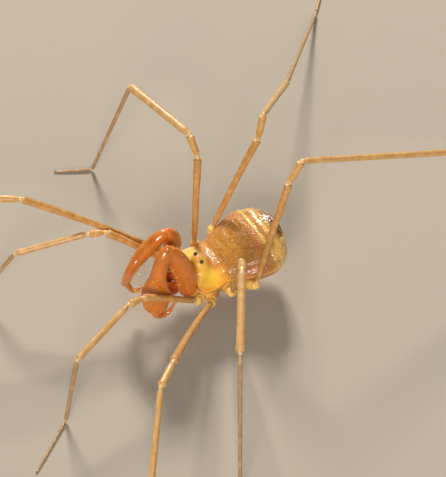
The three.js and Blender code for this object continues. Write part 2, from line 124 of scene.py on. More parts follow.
def follow(knots: Knots, at: float) -> float:
    """Value of a smooth line through a few knots.

    Args:
        knots: Places in rising order, each with its value.
        at: The place to read.

    Returns:
        The eased value between the two nearest knots, or that of the end knot.
    """
    if at <= knots[0][0]:
        return knots[0][1]
    for (low, first), (high, second) in zip(knots, knots[1:]):
        if at <= high:
            return mix(first, second, ease(low, high, at))
    return knots[-1][1]


def srgb(red: int, green: int, blue: int) -> Rgb:
    """A colour given as screen values, as the linear numbers that shaders use."""
    return tuple(
        c / 12.92 if c <= 0.04045 else ((c + 0.055) / 1.055) ** 2.4
        for c in (red / 255, green / 255, blue / 255)
    )


def blend(a: Rgb, b: Rgb, share: float) -> Rgb:
    """The colour at a share of the way from a to b."""
    return (a[0] + (b[0] - a[0]) * share, a[1] + (b[1] - a[1]) * share,
            a[2] + (b[2] - a[2]) * share)


def grainy(place: Vector, size: float, seed: float = 0.0) -> float:
    """Smooth noise from -1 to 1 with features of a size in millimetres."""
    return noise.noise(place / size + Vector((seed, -seed, seed)))


def pebbles(place: Vector, size: float) -> float:
    """Height from 0 to 1 of a field of rounded granules of a size in millimetres."""
    away = noise.voronoi(place / size)[0][0]
    return max(0.0, 1.0 - (away * 1.7) ** 2)


def to_frame() -> Matrix:
    """The move from the animal's own millimetres to the shared frame's metres.

    Returns:
        The matrix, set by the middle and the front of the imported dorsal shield.
    """
    low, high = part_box("shield")
    origin = Vector(((low.x + high.x) / 2, low.y - SHIELD_FRONT * MM, 0.0))
    return Matrix.Translation(origin) @ Matrix.Scale(MM, 4)


PLACE = to_frame()


@dataclass(frozen=True)
class Cuticle:
    """A slightly translucent finish whose colour comes from the piece's own attribute.

    Sizes are millimetres, and strengths are the shader's own numbers.
    """

    name: str
    roughness: tuple[float, float] = (0.2, 0.4)
    coat: float = 0.35
    coat_roughness: float = 0.12
    depth: float = 0.35
    glow: float = 0.4
    grain: float = 0.09
    grain_height: float = 0.006
    pits: float = 0.0
    pit_height: float = 0.0
    mottle: float = 0.5
    mottle_range: tuple[float, float] = (0.85, 1.12)

    def build(self) -> bpy.types.Material:
        """Makes the material.

        Returns:
            A material that reads the colour attribute and Object coordinates.
        """
        material = bpy.data.materials.new(self.name)
        material.use_nodes = True
        tree = material.node_tree
        shader = tree.nodes["Principled BSDF"]
        shader.inputs["Coat Weight"].default_value = self.coat
        shader.inputs["Coat Roughness"].default_value = self.coat_roughness
        shader.inputs["Subsurface Weight"].default_value = self.glow
        shader.inputs["Subsurface Radius"].default_value = (1.0, 0.45, 0.15)
        shader.inputs["Subsurface Scale"].default_value = self.depth * MM
        place = tree.nodes.new("ShaderNodeTexCoord")
        mottle = self._noise(tree, place, self.mottle, 4.0)
        shade = self._range(tree, mottle.outputs["Fac"], self.mottle_range)
        colour = tree.nodes.new("ShaderNodeAttribute")
        colour.attribute_name = COLOUR
        tint = tree.nodes.new("ShaderNodeVectorMath")
        tint.operation = "SCALE"
        tree.links.new(colour.outputs["Color"], tint.inputs[0])
        tree.links.new(shade.outputs["Result"], tint.inputs["Scale"])
        tree.links.new(tint.outputs["Vector"], shader.inputs["Base Color"])
        gloss = self._range(tree, mottle.outputs["Fac"], self.roughness)
        tree.links.new(gloss.outputs["Result"], shader.inputs["Roughness"])
        grain = self._noise(tree, place, self.grain, 3.0)
        bump = self._bump(tree, grain.outputs["Fac"], self.grain_height, None)
        if self.pits:
            cells = tree.nodes.new("ShaderNodeTexVoronoi")
            cells.inputs["Scale"].default_value = 1.0 / (self.pits * MM)
            tree.links.new(place.outputs["Object"], cells.inputs["Vector"])
            bump = self._bump(tree, cells.outputs["Distance"], -self.pit_height, bump)
        tree.links.new(bump.outputs["Normal"], shader.inputs["Normal"])
        return material

    @staticmethod
    def _noise(tree: bpy.types.NodeTree, place: bpy.types.Node, size: float,
               detail: float) -> bpy.types.Node:
        """A noise texture on Object coordinates with features of a size in millimetres."""
        made = tree.nodes.new("ShaderNodeTexNoise")
        made.inputs["Scale"].default_value = 1.0 / (size * MM)
        made.inputs["Detail"].default_value = detail
        tree.links.new(place.outputs["Object"], made.inputs["Vector"])
        return made

    @staticmethod
    def _range(tree: bpy.types.NodeTree, source: bpy.types.NodeSocket,
               span: tuple[float, float]) -> bpy.types.Node:
        """Maps the middle of a noise to a span of values."""
        made = tree.nodes.new("ShaderNodeMapRange")
        made.inputs["From Min"].default_value = 0.3
        made.inputs["From Max"].default_value = 0.7
        made.inputs["To Min"].default_value = span[0]
        made.inputs["To Max"].default_value = span[1]
        tree.links.new(source, made.inputs["Value"])
        return made

    @staticmethod
    def _bump(tree: bpy.types.NodeTree, source: bpy.types.NodeSocket, height: float,
              under: bpy.types.Node | None) -> bpy.types.Node:
        """A bump node of a height in millimetres, on top of another where there is one."""
        made = tree.nodes.new("ShaderNodeBump")
        made.inputs["Strength"].default_value = 1.0
        made.inputs["Distance"].default_value = abs(height) * MM
        made.invert = height < 0
        tree.links.new(source, made.inputs["Height"])
        if under is not None:
            tree.links.new(under.outputs["Normal"], made.inputs["Normal"])
        return made


SHIELD_FINISH = Cuticle("shield_cuticle", roughness=(0.2, 0.36), coat=0.45, coat_roughness=0.1,
                        grain=0.07, grain_height=0.012, pits=0.1, pit_height=0.012, depth=0.45)
GRANULE_FINISH = Cuticle("shield_granules", roughness=(0.1, 0.16), coat=1.0, coat_roughness=0.04,
                         grain_height=0.0, glow=0.3, depth=0.1)
BELLY_FINISH = Cuticle("belly_cuticle", roughness=(0.3, 0.5), coat=0.2, grain=0.08,
                       grain_height=0.012)
PALP_FINISH = Cuticle("pedipalp_cuticle", roughness=(0.3, 0.4), coat=0.8, coat_roughness=0.04,
                      grain=0.16, grain_height=0.01, glow=0.6, depth=0.5,
                      mottle=0.55, mottle_range=(0.86, 1.1))
LEG_FINISH = Cuticle("leg_cuticle", roughness=(0.32, 0.5), coat=0.15, grain=0.06,
                     grain_height=0.01, glow=0.4, depth=0.2, mottle=0.4,
                     mottle_range=(0.9, 1.1))
SPINE_FINISH = Cuticle("spine_cuticle", roughness=(0.12, 0.2), coat=0.6, coat_roughness=0.05,
                       grain=0.1, grain_height=0.002, depth=0.2)
EYE_FINISH = Cuticle("eye_lens", roughness=(0.05, 0.08), coat=1.0, coat_roughness=0.02,
                     grain_height=0.0, glow=0.0)
HAIR_FINISH = Cuticle("hair", roughness=(0.3, 0.4), coat=0.2, grain_height=0.0, glow=0.0)


class Palette:
    """Colours of the animal, judged from the photograph."""

    HEAD = srgb(255, 194, 84)
    HEAD_LOW = srgb(250, 170, 54)
    HEAD_ROSE = srgb(222, 140, 78)
    GLAND = srgb(255, 200, 62)
    SCUTUM = srgb(184, 120, 50)
    SCUTUM_ROSE = srgb(188, 124, 72)
    SCUTUM_AMBER = srgb(188, 128, 34)
    FLANK = srgb(208, 130, 36)
    BAND = srgb(240, 190, 92)
    TERGITE = srgb(178, 122, 56)
    REAR_DARK = srgb(112, 58, 14)
    REAR_PALE = srgb(232, 186, 104)
    GRANULE = srgb(240, 202, 146)
    BELLY = srgb(192, 124, 52)
    PALP = srgb(200, 114, 28)
    # Paler palp tone, used for random clouds and for the painted glow at the joints.
    PALP_PALE_AND_GLOW = srgb(220, 128, 38)
    # Redder palp tone, used as painted shade on the lower, inner parts.
    PALP_RED = srgb(214, 102, 26)
    SPINE = srgb(238, 172, 62)
    CLAW = srgb(140, 78, 34)
    PINCER = srgb(214, 106, 40)
    FEMUR = srgb(198, 144, 76)
    PATELLA = srgb(212, 160, 88)
    TIBIA = srgb(206, 160, 98)
    LEG_END = srgb(172, 138, 94)
    TROCHANTER = srgb(255, 202, 108)
    MEMBRANE = srgb(232, 198, 140)
    EYE = srgb(24, 16, 12)
    HAIR = srgb(224, 194, 150)


def colour_form(body: BMesh, paint: Paint | Rgb, verts: Iterable[BMVert] | None = None) -> None:
    """Paints a form, or only some of its vertices, in its colour layer.

    Args:
        body: The form, in millimetres.
        paint: One colour, or a function from a place to a colour.
        verts: The vertices to paint, or all of them.
    """
    layer = body.loops.layers.float_color.get(COLOUR) or body.loops.layers.float_color.new(COLOUR)
    for vert in body.verts if verts is None else verts:
        colour = (*(paint(vert.co) if callable(paint) else paint), 1.0)
        for loop in vert.link_loops:
            loop[layer] = colour


def finish_piece(name: str, body: BMesh, finish: bpy.types.Material,
                 paint: Paint | Rgb, nodes: Iterable[str] = ()) -> bpy.types.Object:
    """Turns a form in the animal's millimetres into a finished piece in the shared frame.

    Args:
        name: The piece's name.
        body: The form, which is freed.
        finish: Its material.
        paint: One colour, or a function from a place in millimetres to a colour. Where the form
            has a colour layer already, that one is kept.
        nodes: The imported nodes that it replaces.

    Returns:
        The new object.
    """
    if body.loops.layers.float_color.get(COLOUR) is None:
        colour_form(body, paint)
    bmesh.ops.recalc_face_normals(body, faces=body.faces)
    bmesh.ops.transform(body, matrix=PLACE, verts=body.verts)
    for face in body.faces:
        face.smooth = True
    mesh = bpy.data.meshes.new(name)
    body.to_mesh(mesh)
    body.free()
    mesh.materials.append(finish)
    piece = bpy.data.objects.new(name, mesh)
    bpy.context.scene.collection.objects.link(piece)
    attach(piece, ROOT)
    if nodes:
        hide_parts(*nodes)
    log.info("%s: %d faces", name, len(mesh.polygons))
    return piece


def round_form(body: BMesh, around: int, rings: int,
               surface: Callable[[float, float], Vector]) -> Laid:
    """Adds a closed round form: a ball whose rings are laid along a surface.

    Args:
        body: The form to add to.
        around: Corners in each ring.
        rings: Steps from pole to pole.
        surface: The place for a share from 0 to 1 along the form and an angle round it.

    Returns:
        Each new vertex with its share and angle.
    """
    made = bmesh.ops.create_uvsphere(body, u_segments=around, v_segments=rings, radius=1.0)
    laid = []
    for vert in made["verts"]:
        x, y, z = vert.co
        polar = math.acos(min(1.0, max(-1.0, z))) / math.pi
        share = round(polar * rings) / rings
        angle = math.atan2(y, x)
        vert.co = surface(share, angle)
        laid.append((vert, share, angle))
    return laid


def melt(body: BMesh, voxel: float, passes: int) -> BMesh:
    """Joins overlapping forms into one closed skin with soft creases.

    Args:
        body: The forms, which are freed.
        voxel: Size of the steps of the new skin.
        passes: How often the skin is smoothed.

    Returns:
        The skin.
    """
    mesh = bpy.data.meshes.new("forms")
    body.to_mesh(mesh)
    body.free()
    piece = bpy.data.objects.new("forms", mesh)
    bpy.context.scene.collection.objects.link(piece)
    remesh = piece.modifiers.new("skin", "REMESH")
    remesh.mode = "VOXEL"
    remesh.voxel_size = voxel
    soften = piece.modifiers.new("soften", "SMOOTH")
    soften.iterations = passes
    graph = bpy.context.evaluated_depsgraph_get()
    shape = bpy.data.meshes.new_from_object(piece.evaluated_get(graph))
    skin = bmesh.new()
    skin.from_mesh(shape)
    bpy.data.objects.remove(piece)
    bpy.data.meshes.remove(mesh)
    bpy.data.meshes.remove(shape)
    return skin


def add_spine(body: BMesh, root: Vector, direction: Vector, length: float, radius: float,
              sides: int = 7, curl: Vector | None = None, joints: int = 5) -> list[BMVert]:
    """Adds a tapered spine or claw, curled towards one side where asked.

    Args:
        body: The form to add to.
        root: Its root, a little under the surface.
        direction: The way it points.
        length: Its length.
        radius: Its radius at the root.
        sides: Corners round it.
        curl: How far, and which way, its tip bends off the straight line.
        joints: Steps along it.

    Returns:
        The new vertices.
    """
    aim = direction.normalized()
    bend = curl or Vector()
    turn = UP.rotation_difference(aim).to_matrix()
    ring = bmesh.ops.create_circle(body, cap_ends=True, radius=radius, segments=sides)["verts"]
    bmesh.ops.rotate(body, verts=ring, cent=Vector(), matrix=turn)
    bmesh.ops.translate(body, verts=ring, vec=root)
    verts = list(ring)
    edges = list({edge for vert in ring for edge in vert.link_edges})
    thick = 1.0
    for step in range(1, joints + 1):
        share = step / joints
        made = bmesh.ops.extrude_edge_only(body, edges=edges)["geom"]
        ring = [g for g in made if isinstance(g, BMVert)]
        edges = [g for g in made if isinstance(g, BMEdge)]
        before = root + aim * length * (share - 1 / joints) + bend * (share - 1 / joints) ** 2
        after = root + aim * length * share + bend * share ** 2
        slim = max(0.04, 1.0 - share ** 1.3)
        bmesh.ops.translate(body, verts=ring, vec=after - before)
        bmesh.ops.scale(body, verts=ring, vec=Vector((slim / thick,) * 3),
                        space=Matrix.Translation(-after))
        thick = slim
        verts += ring
    bmesh.ops.contextual_create(body, geom=edges)
    return verts


def add_granule(body: BMesh, centre: Vector, radius: float, normal: Vector,
                height: float = 0.8) -> None:
    """Adds one small rounded granule of twenty faces.

    Args:
        body: The form to add to.
        centre: Its middle.
        radius: Its radius on the surface.
        normal: The way it stands up.
        height: Its height as a share of its radius.
    """
    turn = UP.rotation_difference(normal).to_matrix().to_4x4()
    place = Matrix.Translation(centre) @ turn @ Matrix.Diagonal((1, 1, height, 1))
    bmesh.ops.create_icosphere(body, subdivisions=1, radius=radius, matrix=place)


def add_hair(body: BMesh, root: Vector, aim: Vector, length: float, radius: float) -> None:
    """Adds one three-sided hair.

    Args:
        body: The form to add to.
        root: Its root.
        aim: The unit direction it points.
        length: Its length.
        radius: Its radius at the root.
    """
    turn = UP.rotation_difference(aim).to_matrix().to_4x4()
    place = Matrix.Translation(root) @ turn @ Matrix.Translation((0, 0, length / 2))
    bmesh.ops.create_cone(body, cap_ends=True, segments=3, radius1=radius, radius2=0.0,
                          depth=length, matrix=place)


@dataclass
class Crowd:
    """Many small forms of a coat, made in batches and joined as one mesh.

    Each form keeps its root's place on an unwrap of the skin, as shares from 0 to 1.
    """

    batch_size: int = 48
    patch: float = 0.003
    whole: BMesh = field(default_factory=bmesh.new)
    batch: BMesh = field(default_factory=bmesh.new)
    roots: list[tuple[float, float, int]] = field(default_factory=list)

    def add(self, make: Callable[..., object], root: tuple[float, float], *sizes: object) -> None:
        """Adds one form.

        Args:
            make: The function that makes it in a mesh.
            root: Its root's place on the unwrap.
            *sizes: What the function takes after the mesh.
        """
        before = len(self.batch.faces)
        make(self.batch, *sizes)
        self.roots.append((*root, len(self.batch.faces) - before))
        if len(self.roots) % self.batch_size == 0:
            self._flush()

    def _flush(self) -> None:
        """Moves the batch into the whole."""
        mesh = bpy.data.meshes.new("batch")
        self.batch.to_mesh(mesh)
        self.whole.from_mesh(mesh)
        self.batch.clear()
        bpy.data.meshes.remove(mesh)

    def finish(self, name: str, finish: bpy.types.Material, slot: str, paint: Paint | Rgb) -> None:
        """Makes the joined piece, with its unwrap map.

        Args:
            name: The piece's name.
            finish: Its material.
            slot: Not used; it names the record's slot of its finish.
            paint: Its colour, or a function from a place to a colour.
        """
        self._flush()
        layer = self.whole.loops.layers.uv.new(BAKE_MAP)
        faces = iter(self.whole.faces)
        for u, v, count in self.roots:
            middle = Vector([mix(self.patch, 1 - self.patch, place) for place in (u, v)])
            for _ in range(count):
                for corner, loop in enumerate(next(faces).loops):
                    turn = TURN * corner / 3
                    corner_way = Vector((math.cos(turn), math.sin(turn)))
                    loop[layer].uv = middle + corner_way * self.patch / 2
        finish_piece(name, self.whole, finish, paint)
        self.batch.free()


@dataclass
class Path:
    """A smooth bend through three points, with a frame at each place on it."""

    start: Vector
    middle: Vector
    end: Vector
    hint: Vector

    def point(self, share: float) -> Vector:
        """The place at a share of the way along."""
        rest = 1.0 - share
        return (self.start * (rest * rest) + self.middle * (2 * rest * share)
                + self.end * (share * share))

    def tangent(self, share: float) -> Vector:
        """The direction at a share of the way along."""
        return ((self.middle - self.start) * (1.0 - share)
                + (self.end - self.middle) * share).normalized()

    def frame(self, share: float) -> tuple[Vector, Vector, Vector]:
        """The tangent, the direction nearest to the hint across it, and the one across both."""
        tangent = self.tangent(share)
        side = (self.hint - tangent * self.hint.dot(tangent)).normalized()
        return tangent, side, tangent.cross(side)

    @cached_property
    def length(self) -> float:
        """Length along the bend, from a few straight steps."""
        steps = 12
        places = [self.point(i / steps) for i in range(steps + 1)]
        return sum((b - a).length for a, b in zip(places, places[1:]))


@dataclass
class Limb:
    """A round, tapered form along a path, with its half sizes across and along its flat side."""

    path: Path
    across: Knots
    along: Knots
    round_ends: float = 1.0

    def surface(self, share: float, angle: float) -> Vector:
        """A place on the surface.

        Args:
            share: Share of the way from the base to the tip.
            angle: Angle round the limb, 0 on its flat side.

        Returns:
            The place in millimetres.
        """
        place = mix(share, (1.0 - math.cos(math.pi * share)) / 2, 0.6)
        across, along = follow(self.across, place), follow(self.along, place)
        reach = min(place, 1.0 - place) * self.path.length
        bend = min(1.0, reach / (self.round_ends * (across + along) / 2))
        swell = math.sqrt(max(0.0, 1.0 - (1.0 - bend) ** 2))
        _, side, depth = self.path.frame(place)
        return (self.path.point(place) + side * (math.cos(angle) * across * swell)
                + depth * (math.sin(angle) * along * swell))

    def outside(self, share: float, facing: Vector) -> tuple[Vector, Vector]:
        """The place on the surface that looks a given way.

        Args:
            share: Share of the way along.
            facing: A direction, of which the part across the limb counts.

        Returns:
            The place, and the direction across the limb there.
        """
        across, along = follow(self.across, share), follow(self.along, share)
        tangent, side, depth = self.path.frame(share)
        out = (facing - tangent * facing.dot(tangent)).normalized()
        reach = 1.0 / math.hypot(out.dot(side) / across, out.dot(depth) / along)
        return self.path.point(share) + out * reach, out

    def add(self, body: BMesh, around: int, rings: int) -> Laid:
        """Adds the limb to a form and returns its laid vertices."""
        return round_form(body, around, rings, self.surface)


@dataclass(frozen=True)
class EyeMound:
    """The low mound of the eyes: its place along the body, half sizes, height and foot."""

    y: float = -1.0
    half_length: float = 0.8
    half_width: float = 0.82
    height: float = 1.16
    base: float = 2.98
    skirt: float = 0.2

    def top(self, x: float, y: float) -> float:
        """Height of the mound's surface, or of its foot outside."""
        round_off = 1 - (x / self.half_width) ** 2 - ((y - self.y) / self.half_length) ** 2
        return self.base + self.height * math.sqrt(max(0.0, round_off))

    def melt_into(self, place: Vector) -> float:
        """Height of a place on the head where the mound runs softly into it."""
        away = math.hypot(place.x / self.half_width, (place.y - self.y) / self.half_length)
        slope = self.base + self.height * math.exp(-(away ** 2) * 0.95) - 0.12
        rise = mix(self.top(place.x, place.y), slope, ease(0.55, 0.95, away))
        gap = (rise - place.z) / self.skirt
        if gap < -6:
            return place.z
        return place.z + self.skirt * math.log1p(math.exp(min(gap, 30.0))) - (
            self.skirt * 0.2 * bell(gap, 0.0, 2.0))


@dataclass(frozen=True)
class Trunk:
    """The body: head and abdomen under one shield, and the free plates behind it."""

    outline: Knots = ((4.68, 0.0), (4.54, 1.0), (4.08, 1.95), (3.25, 2.5), (2.3, 2.53),
                      (1.2, 2.1), (0.3, 1.76), (-0.1, 1.68), (-0.6, 1.78), (-1.3, 1.8),
                      (-1.66, 1.52), (-1.78, 0.85), (SHIELD_FRONT, 0.0))
    full_width: float = 1.5
    margin: float = 2.74
    core_depth: float = 0.6
    rear_rise: float = 0.42
    shield_top: float = 1.3
    head_top: float = 0.5
    head_roof: float = 1.6
    belly: float = 1.55
    belly_inset: float = 0.92
    seam: float = 2.76
    rear_seam: float = 2.0
    lip: float = 0.05
    lip_width: float = 0.06
    overlap: float = 0.06
    plate_gap: float = 0.012
    plate_step: float = 0.03
    cuts: tuple[float, ...] = (3.1, 3.72, 4.2)
    leans: tuple[float, ...] = (14.0, 33.0, 50.0)
    crowns: tuple[float, ...] = (4.4, 4.45, 4.1)
    waist: tuple[float, float, float] = (0.25, 0.1, 0.35)
    furrows: Knots = ((1.02, 0.022), (1.72, 0.022), (2.5, 0.02))
    furrow_width: float = 0.12
    gutter: float = 0.8
    gutter_depth: float = 0.05
    bead: float = 0.035
    swell: float = 0.075
    rear_swell: float = 0.03
    wrinkle: float = 0.06
    lumps: Knots = ((0.6, 0.025), (0.22, 0.012))
    pebble: float = 0.022
    head_pebble: float = 0.006
    mound: EyeMound = EyeMound()
    eye_radius: float = 0.12
    eye_place: tuple[float, float, float] = (0.36, -1.02, 4.06)
    gland: tuple[float, float, float] = (1.12, -0.85, 0.5)
    # Rows of granules: place along the body, spread and size.
    granule_rows: tuple[tuple[float, float, float], ...] = (
        (0.02, 0.13, 0.055), (0.62, 0.08, 0.042), (1.3, 0.1, 0.04), (2.05, 0.1, 0.045),
        (2.75, 0.08, 0.045), (3.13, 0.03, 0.045), (3.7, 0.05, 0.045), (4.25, 0.04, 0.04))
    granule_step: float = 0.15
    seed: int = 11
    # Scattered granules: number, span along the body, share of its width, and sizes.
    granule_fields: tuple[tuple[int, Span, float, Span], ...] = (
        (520, (-0.2, 4.3), 0.9, (0.02, 0.042)), (80, (-1.65, -0.2), 0.85, (0.012, 0.022)))
    fine_steps: int = 800
    around: int = 300
    rings: int = 210

    def section(self, share: float) -> tuple[float, float]:
        """Place along the body and half width there, on a smooth line through the outline.

        Args:
            share: Share of the way from the rear end to the front end.

        Returns:
            The place y and the half width.
        """
        last = len(self.outline) - 1
        index = min(int(share * last), last - 1)
        before, first, second, after = (self.outline[min(max(index + k, 0), last)]
                                        for k in (-1, 0, 1, 2))
        t = share * last - index
        return tuple(self._catmull(t, before[axis], first[axis], second[axis], after[axis])
                     for axis in (0, 1))

    @staticmethod
    def _catmull(t: float, p0: float, p1: float, p2: float, p3: float) -> float:
        """One number on a smooth line through p1 and p2."""
        v0 = (p2 - p0) / 2
        v1 = (p3 - p1) / 2
        return ((2 * p1 - 2 * p2 + v0 + v1) * t ** 3 + (-3 * p1 + 3 * p2 - 2 * v0 - v1) * t ** 2
                + v0 * t + p1)

    @cached_property
    def stations(self) -> list[tuple[float, float, float]]:
        """Fine steps along the body: the place reversed, the share and the half width."""
        shares = [i / self.fine_steps for i in range(self.fine_steps + 1)]
        sections = [self.section(share) for share in shares]
        return [(-y, share, half) for share, (y, half) in zip(shares, sections)]

    def station_at(self, y: float) -> tuple[float, float, float]:
        """The fine step nearest behind a place y."""
        return self.stations[min(bisect_left(self.stations, (-y,)), len(self.stations) - 1)]

    def half_at(self, y: float) -> float:
        """Half width of the body at a place y."""
        return max(0.0, self.station_at(y)[2])

    def margin_at(self, y: float) -> float:
        """Height of the shield's side margin, which rises to the rear."""
        return self.margin + self.rear_rise * ease(0.2, 4.3, y)

    def upper(self, share: float, angle: float) -> tuple[Vector, float]:
        """A place on the upper form without its fine relief, and the half width there.

        Args:
            share: Share of the way from the rear end to the front end.
            angle: Angle round the body, 0 on its left margin and half a turn on its right.

        Returns:
            The place in millimetres and the half width.
        """
        y, half = self.section(share)
        half = max(half, 0.0)
        full = math.sin(min(1.0, half / self.full_width) * math.pi / 2)
        crown = mix(self.head_top, self.shield_top, ease(-1.6, 2.9, y))
        crown -= self.waist[1] * bell(y, self.waist[0], self.waist[2])
        rise = math.sin(angle)
        if rise < 0:
            height = rise * self.belly * full
        else:
            height = rise ** mix(self.head_roof, 1.0, ease(-0.6, 1.4, y)) * crown * full
        return Vector((math.cos(angle) * half, y, self.margin_at(y) + height)), half

    def cut_plane(self, index: int) -> tuple[Vector, Vector]:
        """A point on the cut in front of a free plate, and the plane's way back."""
        lean = math.radians(self.leans[index])
        point = Vector((0.0, self.cuts[index], self.crowns[index]))
        return point, Vector((0.0, math.cos(lean), math.sin(lean)))

    @cached_property
    def planes(self) -> list[tuple[Vector, Vector]]:
        """The cuts in front of the three free plates."""
        return [self.cut_plane(index) for index in range(len(self.cuts))]

    def behind(self, place: Vector, index: int) -> float:
        """How far a place lies behind a cut."""
        point, back = self.planes[index]
        return (place - point).dot(back)

    def relief(self, place: Vector, half: float) -> float:
        """Height of the shield's own relief over its plain form.

        Args:
            place: A place on the upper form.
            half: Half width of the body there.

        Returns:
            Millimetres outwards.
        """
        y = place.y
        out = abs(place.x) / max(half, 0.1)
        height = 0.0
        for centre, depth in self.furrows:
            arch = centre - 0.15 * (1 - out * out)
            height -= depth * bell(y, arch, self.furrow_width) * ease(0.85, 0.6, out)
        body = ease(0.1, 0.5, y) * ease(3.3, 2.9, y)
        height -= self.gutter_depth * bell(out, self.gutter, 0.06) * body
        height += self.bead * bell(place.z, self.margin_at(y) + 0.1, 0.07) * ease(0.7, 0.9, out)
        height += self.rear_swell * bell(self.behind(place, 0), -0.14, 0.1)
        for index in (0, 1):
            gone = self.behind(place, index)
            left = -self.behind(place, index + 1)
            if gone > 0 and left > 0:
                arch = math.sin(math.pi * gone / (gone + left))
                height += self.swell * arch * ease(1.0, 0.7, out)
        height += sum(depth * grainy(place, size) for size, depth in self.lumps)
        rough = ease(-0.45, 0.0, y) * mix(1.0, 0.35, bell(out, 0.2, 0.35) * bell(y, 0.9, 0.4))
        height += self.pebble * rough * pebbles(place, 0.13)
        height += self.head_pebble * (1 - rough) * pebbles(place, 0.11)
        flank = ease(2.7, 3.4, y) * ease(0.62, 0.85, out)
        return height + self.wrinkle * flank * self._streak(place)

    @staticmethod
    def _streak(place: Vector) -> float:
        """Noise drawn out across the body, for the wrinkles of the rear flanks."""
        return grainy(Vector((place.x * 0.5, place.y * 2.6, place.z)), 0.25)

    def shell(self, share: float, angle: float) -> Vector:
        """A place on the upper form with its relief and the eye mound.

        Args:
            share: Share of the way from the rear end to the front end.
            angle: Angle round the body.

        Returns:
            The place in millimetres.
        """
        place, half = self.upper(share, angle)
        if angle < 0:
            return place
        place.z = self.mound.melt_into(place)
        return place + self.way_out(place) * (self.relief(place, half) * ease(0.0, 0.4, half))

    def way_out(self, place: Vector) -> Vector:
        """The direction from the body's core to a place."""
        return (place - Vector((0.0, place.y, self.margin - self.core_depth))).normalized()

    def lay(self, share: float, angle: float) -> Vector:
        """A place on the shell, with most of the corners of a ring on its upper half."""
        turn = (angle / TURN) % 1.0
        upper = 0.84
        if turn <= upper:
            return self.shell(share, math.pi * turn / upper)
        return self.shell(share, math.pi * (turn - upper) / (1 - upper) - math.pi)

    def top_at(self, x: float, y: float) -> tuple[Vector, Vector, tuple[float, float]]:
        """A place on the shell over x and y, the way it looks, and its place on the unwrap.

        Args:
            x: Distance to the left of the midline.
            y: Place along the body.

        Returns:
            The place, the unit normal, and the two shares.
        """
        share = self.station_at(y)[1]
        half = max(self.half_at(y), 0.01)
        angle = math.acos(min(1.0, max(-1.0, x / half)))
        step = 0.01
        place = self.shell(share, angle)
        ahead = self.upper(min(1.0, share + step), angle)[0] - self.upper(share, angle)[0]
        aside = self.upper(share, angle + step)[0] - self.upper(share, angle - step)[0]
        normal = ahead.cross(aside).normalized()
        if place.z > self.upper(share, angle)[0].z + 0.15:
            centre = Vector((0.0, self.mound.y, self.mound.base))
            normal = (place - centre).normalized()
        return place, normal if normal.z > 0 else -normal, (share, angle / math.pi)

    def paint(self, place: Vector) -> Rgb:
        """Colour of the shield and the free plates at a place.

        Args:
            place: The place in millimetres.

        Returns:
            The linear colour.
        """
        y = place.y
        out = min(1.0, abs(place.x) / max(self.half_at(y), 0.2))
        colour = blend(Palette.SCUTUM, Palette.SCUTUM_ROSE, ease(-0.2, 0.4, grainy(place, 0.7, 7)))
        amber = bell(y, 1.2, 1.1) * ease(0.95, 0.45, out)
        colour = blend(colour, Palette.SCUTUM_AMBER, 0.85 * amber)
        colour = blend(colour, Palette.FLANK, 0.7 * ease(0.5, 0.9, out) * ease(2.4, 0.4, y))
        colour = blend(colour, Palette.HEAD_LOW, ease(0.45, -0.1, y) * ease(0.25, 0.6, out))
        colour = blend(colour, Palette.HEAD, ease(0.1, -0.6, y) * ease(0.95, 0.6, out))
        gland_x, gland_y, reach = self.gland
        away = math.hypot(abs(place.x) - gland_x, y - gland_y)
        colour = blend(colour, Palette.GLAND, ease(reach * 1.6, reach * 0.3, away))
        rose = bell(y, -0.35, 0.28) * ease(0.5, 0.25, out)
        colour = blend(colour, Palette.HEAD_ROSE, 0.7 * rose)
        colour = blend(colour, Palette.TERGITE, 0.6 * ease(3.35, 3.6, y))
        for index, strength, width in ((0, 1.0, 0.12), (1, 0.8, 0.19)):
            gone = self.behind(place, index)
            colour = blend(colour, Palette.BAND, strength * bell(gone, -0.85 * width, width)
                           * ease(0.95, 0.7, out))
        dark = ease(0.05, 0.2, self.behind(place, 1)) * ease(1.0, 0.75, out)
        colour = blend(colour, Palette.REAR_DARK, 0.8 * dark)
        pale = ease(2.6, 3.5, y) * ease(0.55, 0.8, out)
        colour = blend(colour, Palette.REAR_PALE, 0.85 * pale)
        streak = ease(0.0, 0.4, self._streak(place))
        colour = blend(colour, Palette.BAND, 0.6 * pale * streak)
        bead = bell(place.z, self.margin_at(y) + 0.1, 0.08) * ease(0.75, 0.92, out)
        return blend(colour, Palette.BAND, mix(0.45, 0.9, ease(2.2, 3.2, y)) * bead)

    def paint_granule(self, place: Vector) -> Rgb:
        """Colour of a granule: paler than the ground it stands on."""
        return blend(self.paint(place), Palette.GRANULE, 0.65)

    def build(self) -> None:
        """Makes the shield, the free plates, the granules and the eyes."""
        finish = SHIELD_FINISH.build()
        whole = bmesh.new()
        round_form(whole, self.around, self.rings, self.lay)
        names = (("shield", "shield"), ("tergite_1", "plate"), ("tergite_2", "plate"),
                 ("anal_plate", "plate"))
        for index, (node, slot) in enumerate(names, -1):
            self._plate(whole.copy(), node, index, finish)
        whole.free()
        self._granules(GRANULE_FINISH.build())
        self._eyes()

    def _sink(self, vert: BMVert, depth: float) -> None:
        """Moves a vertex towards the core of the body."""
        vert.co -= self.way_out(vert.co) * depth

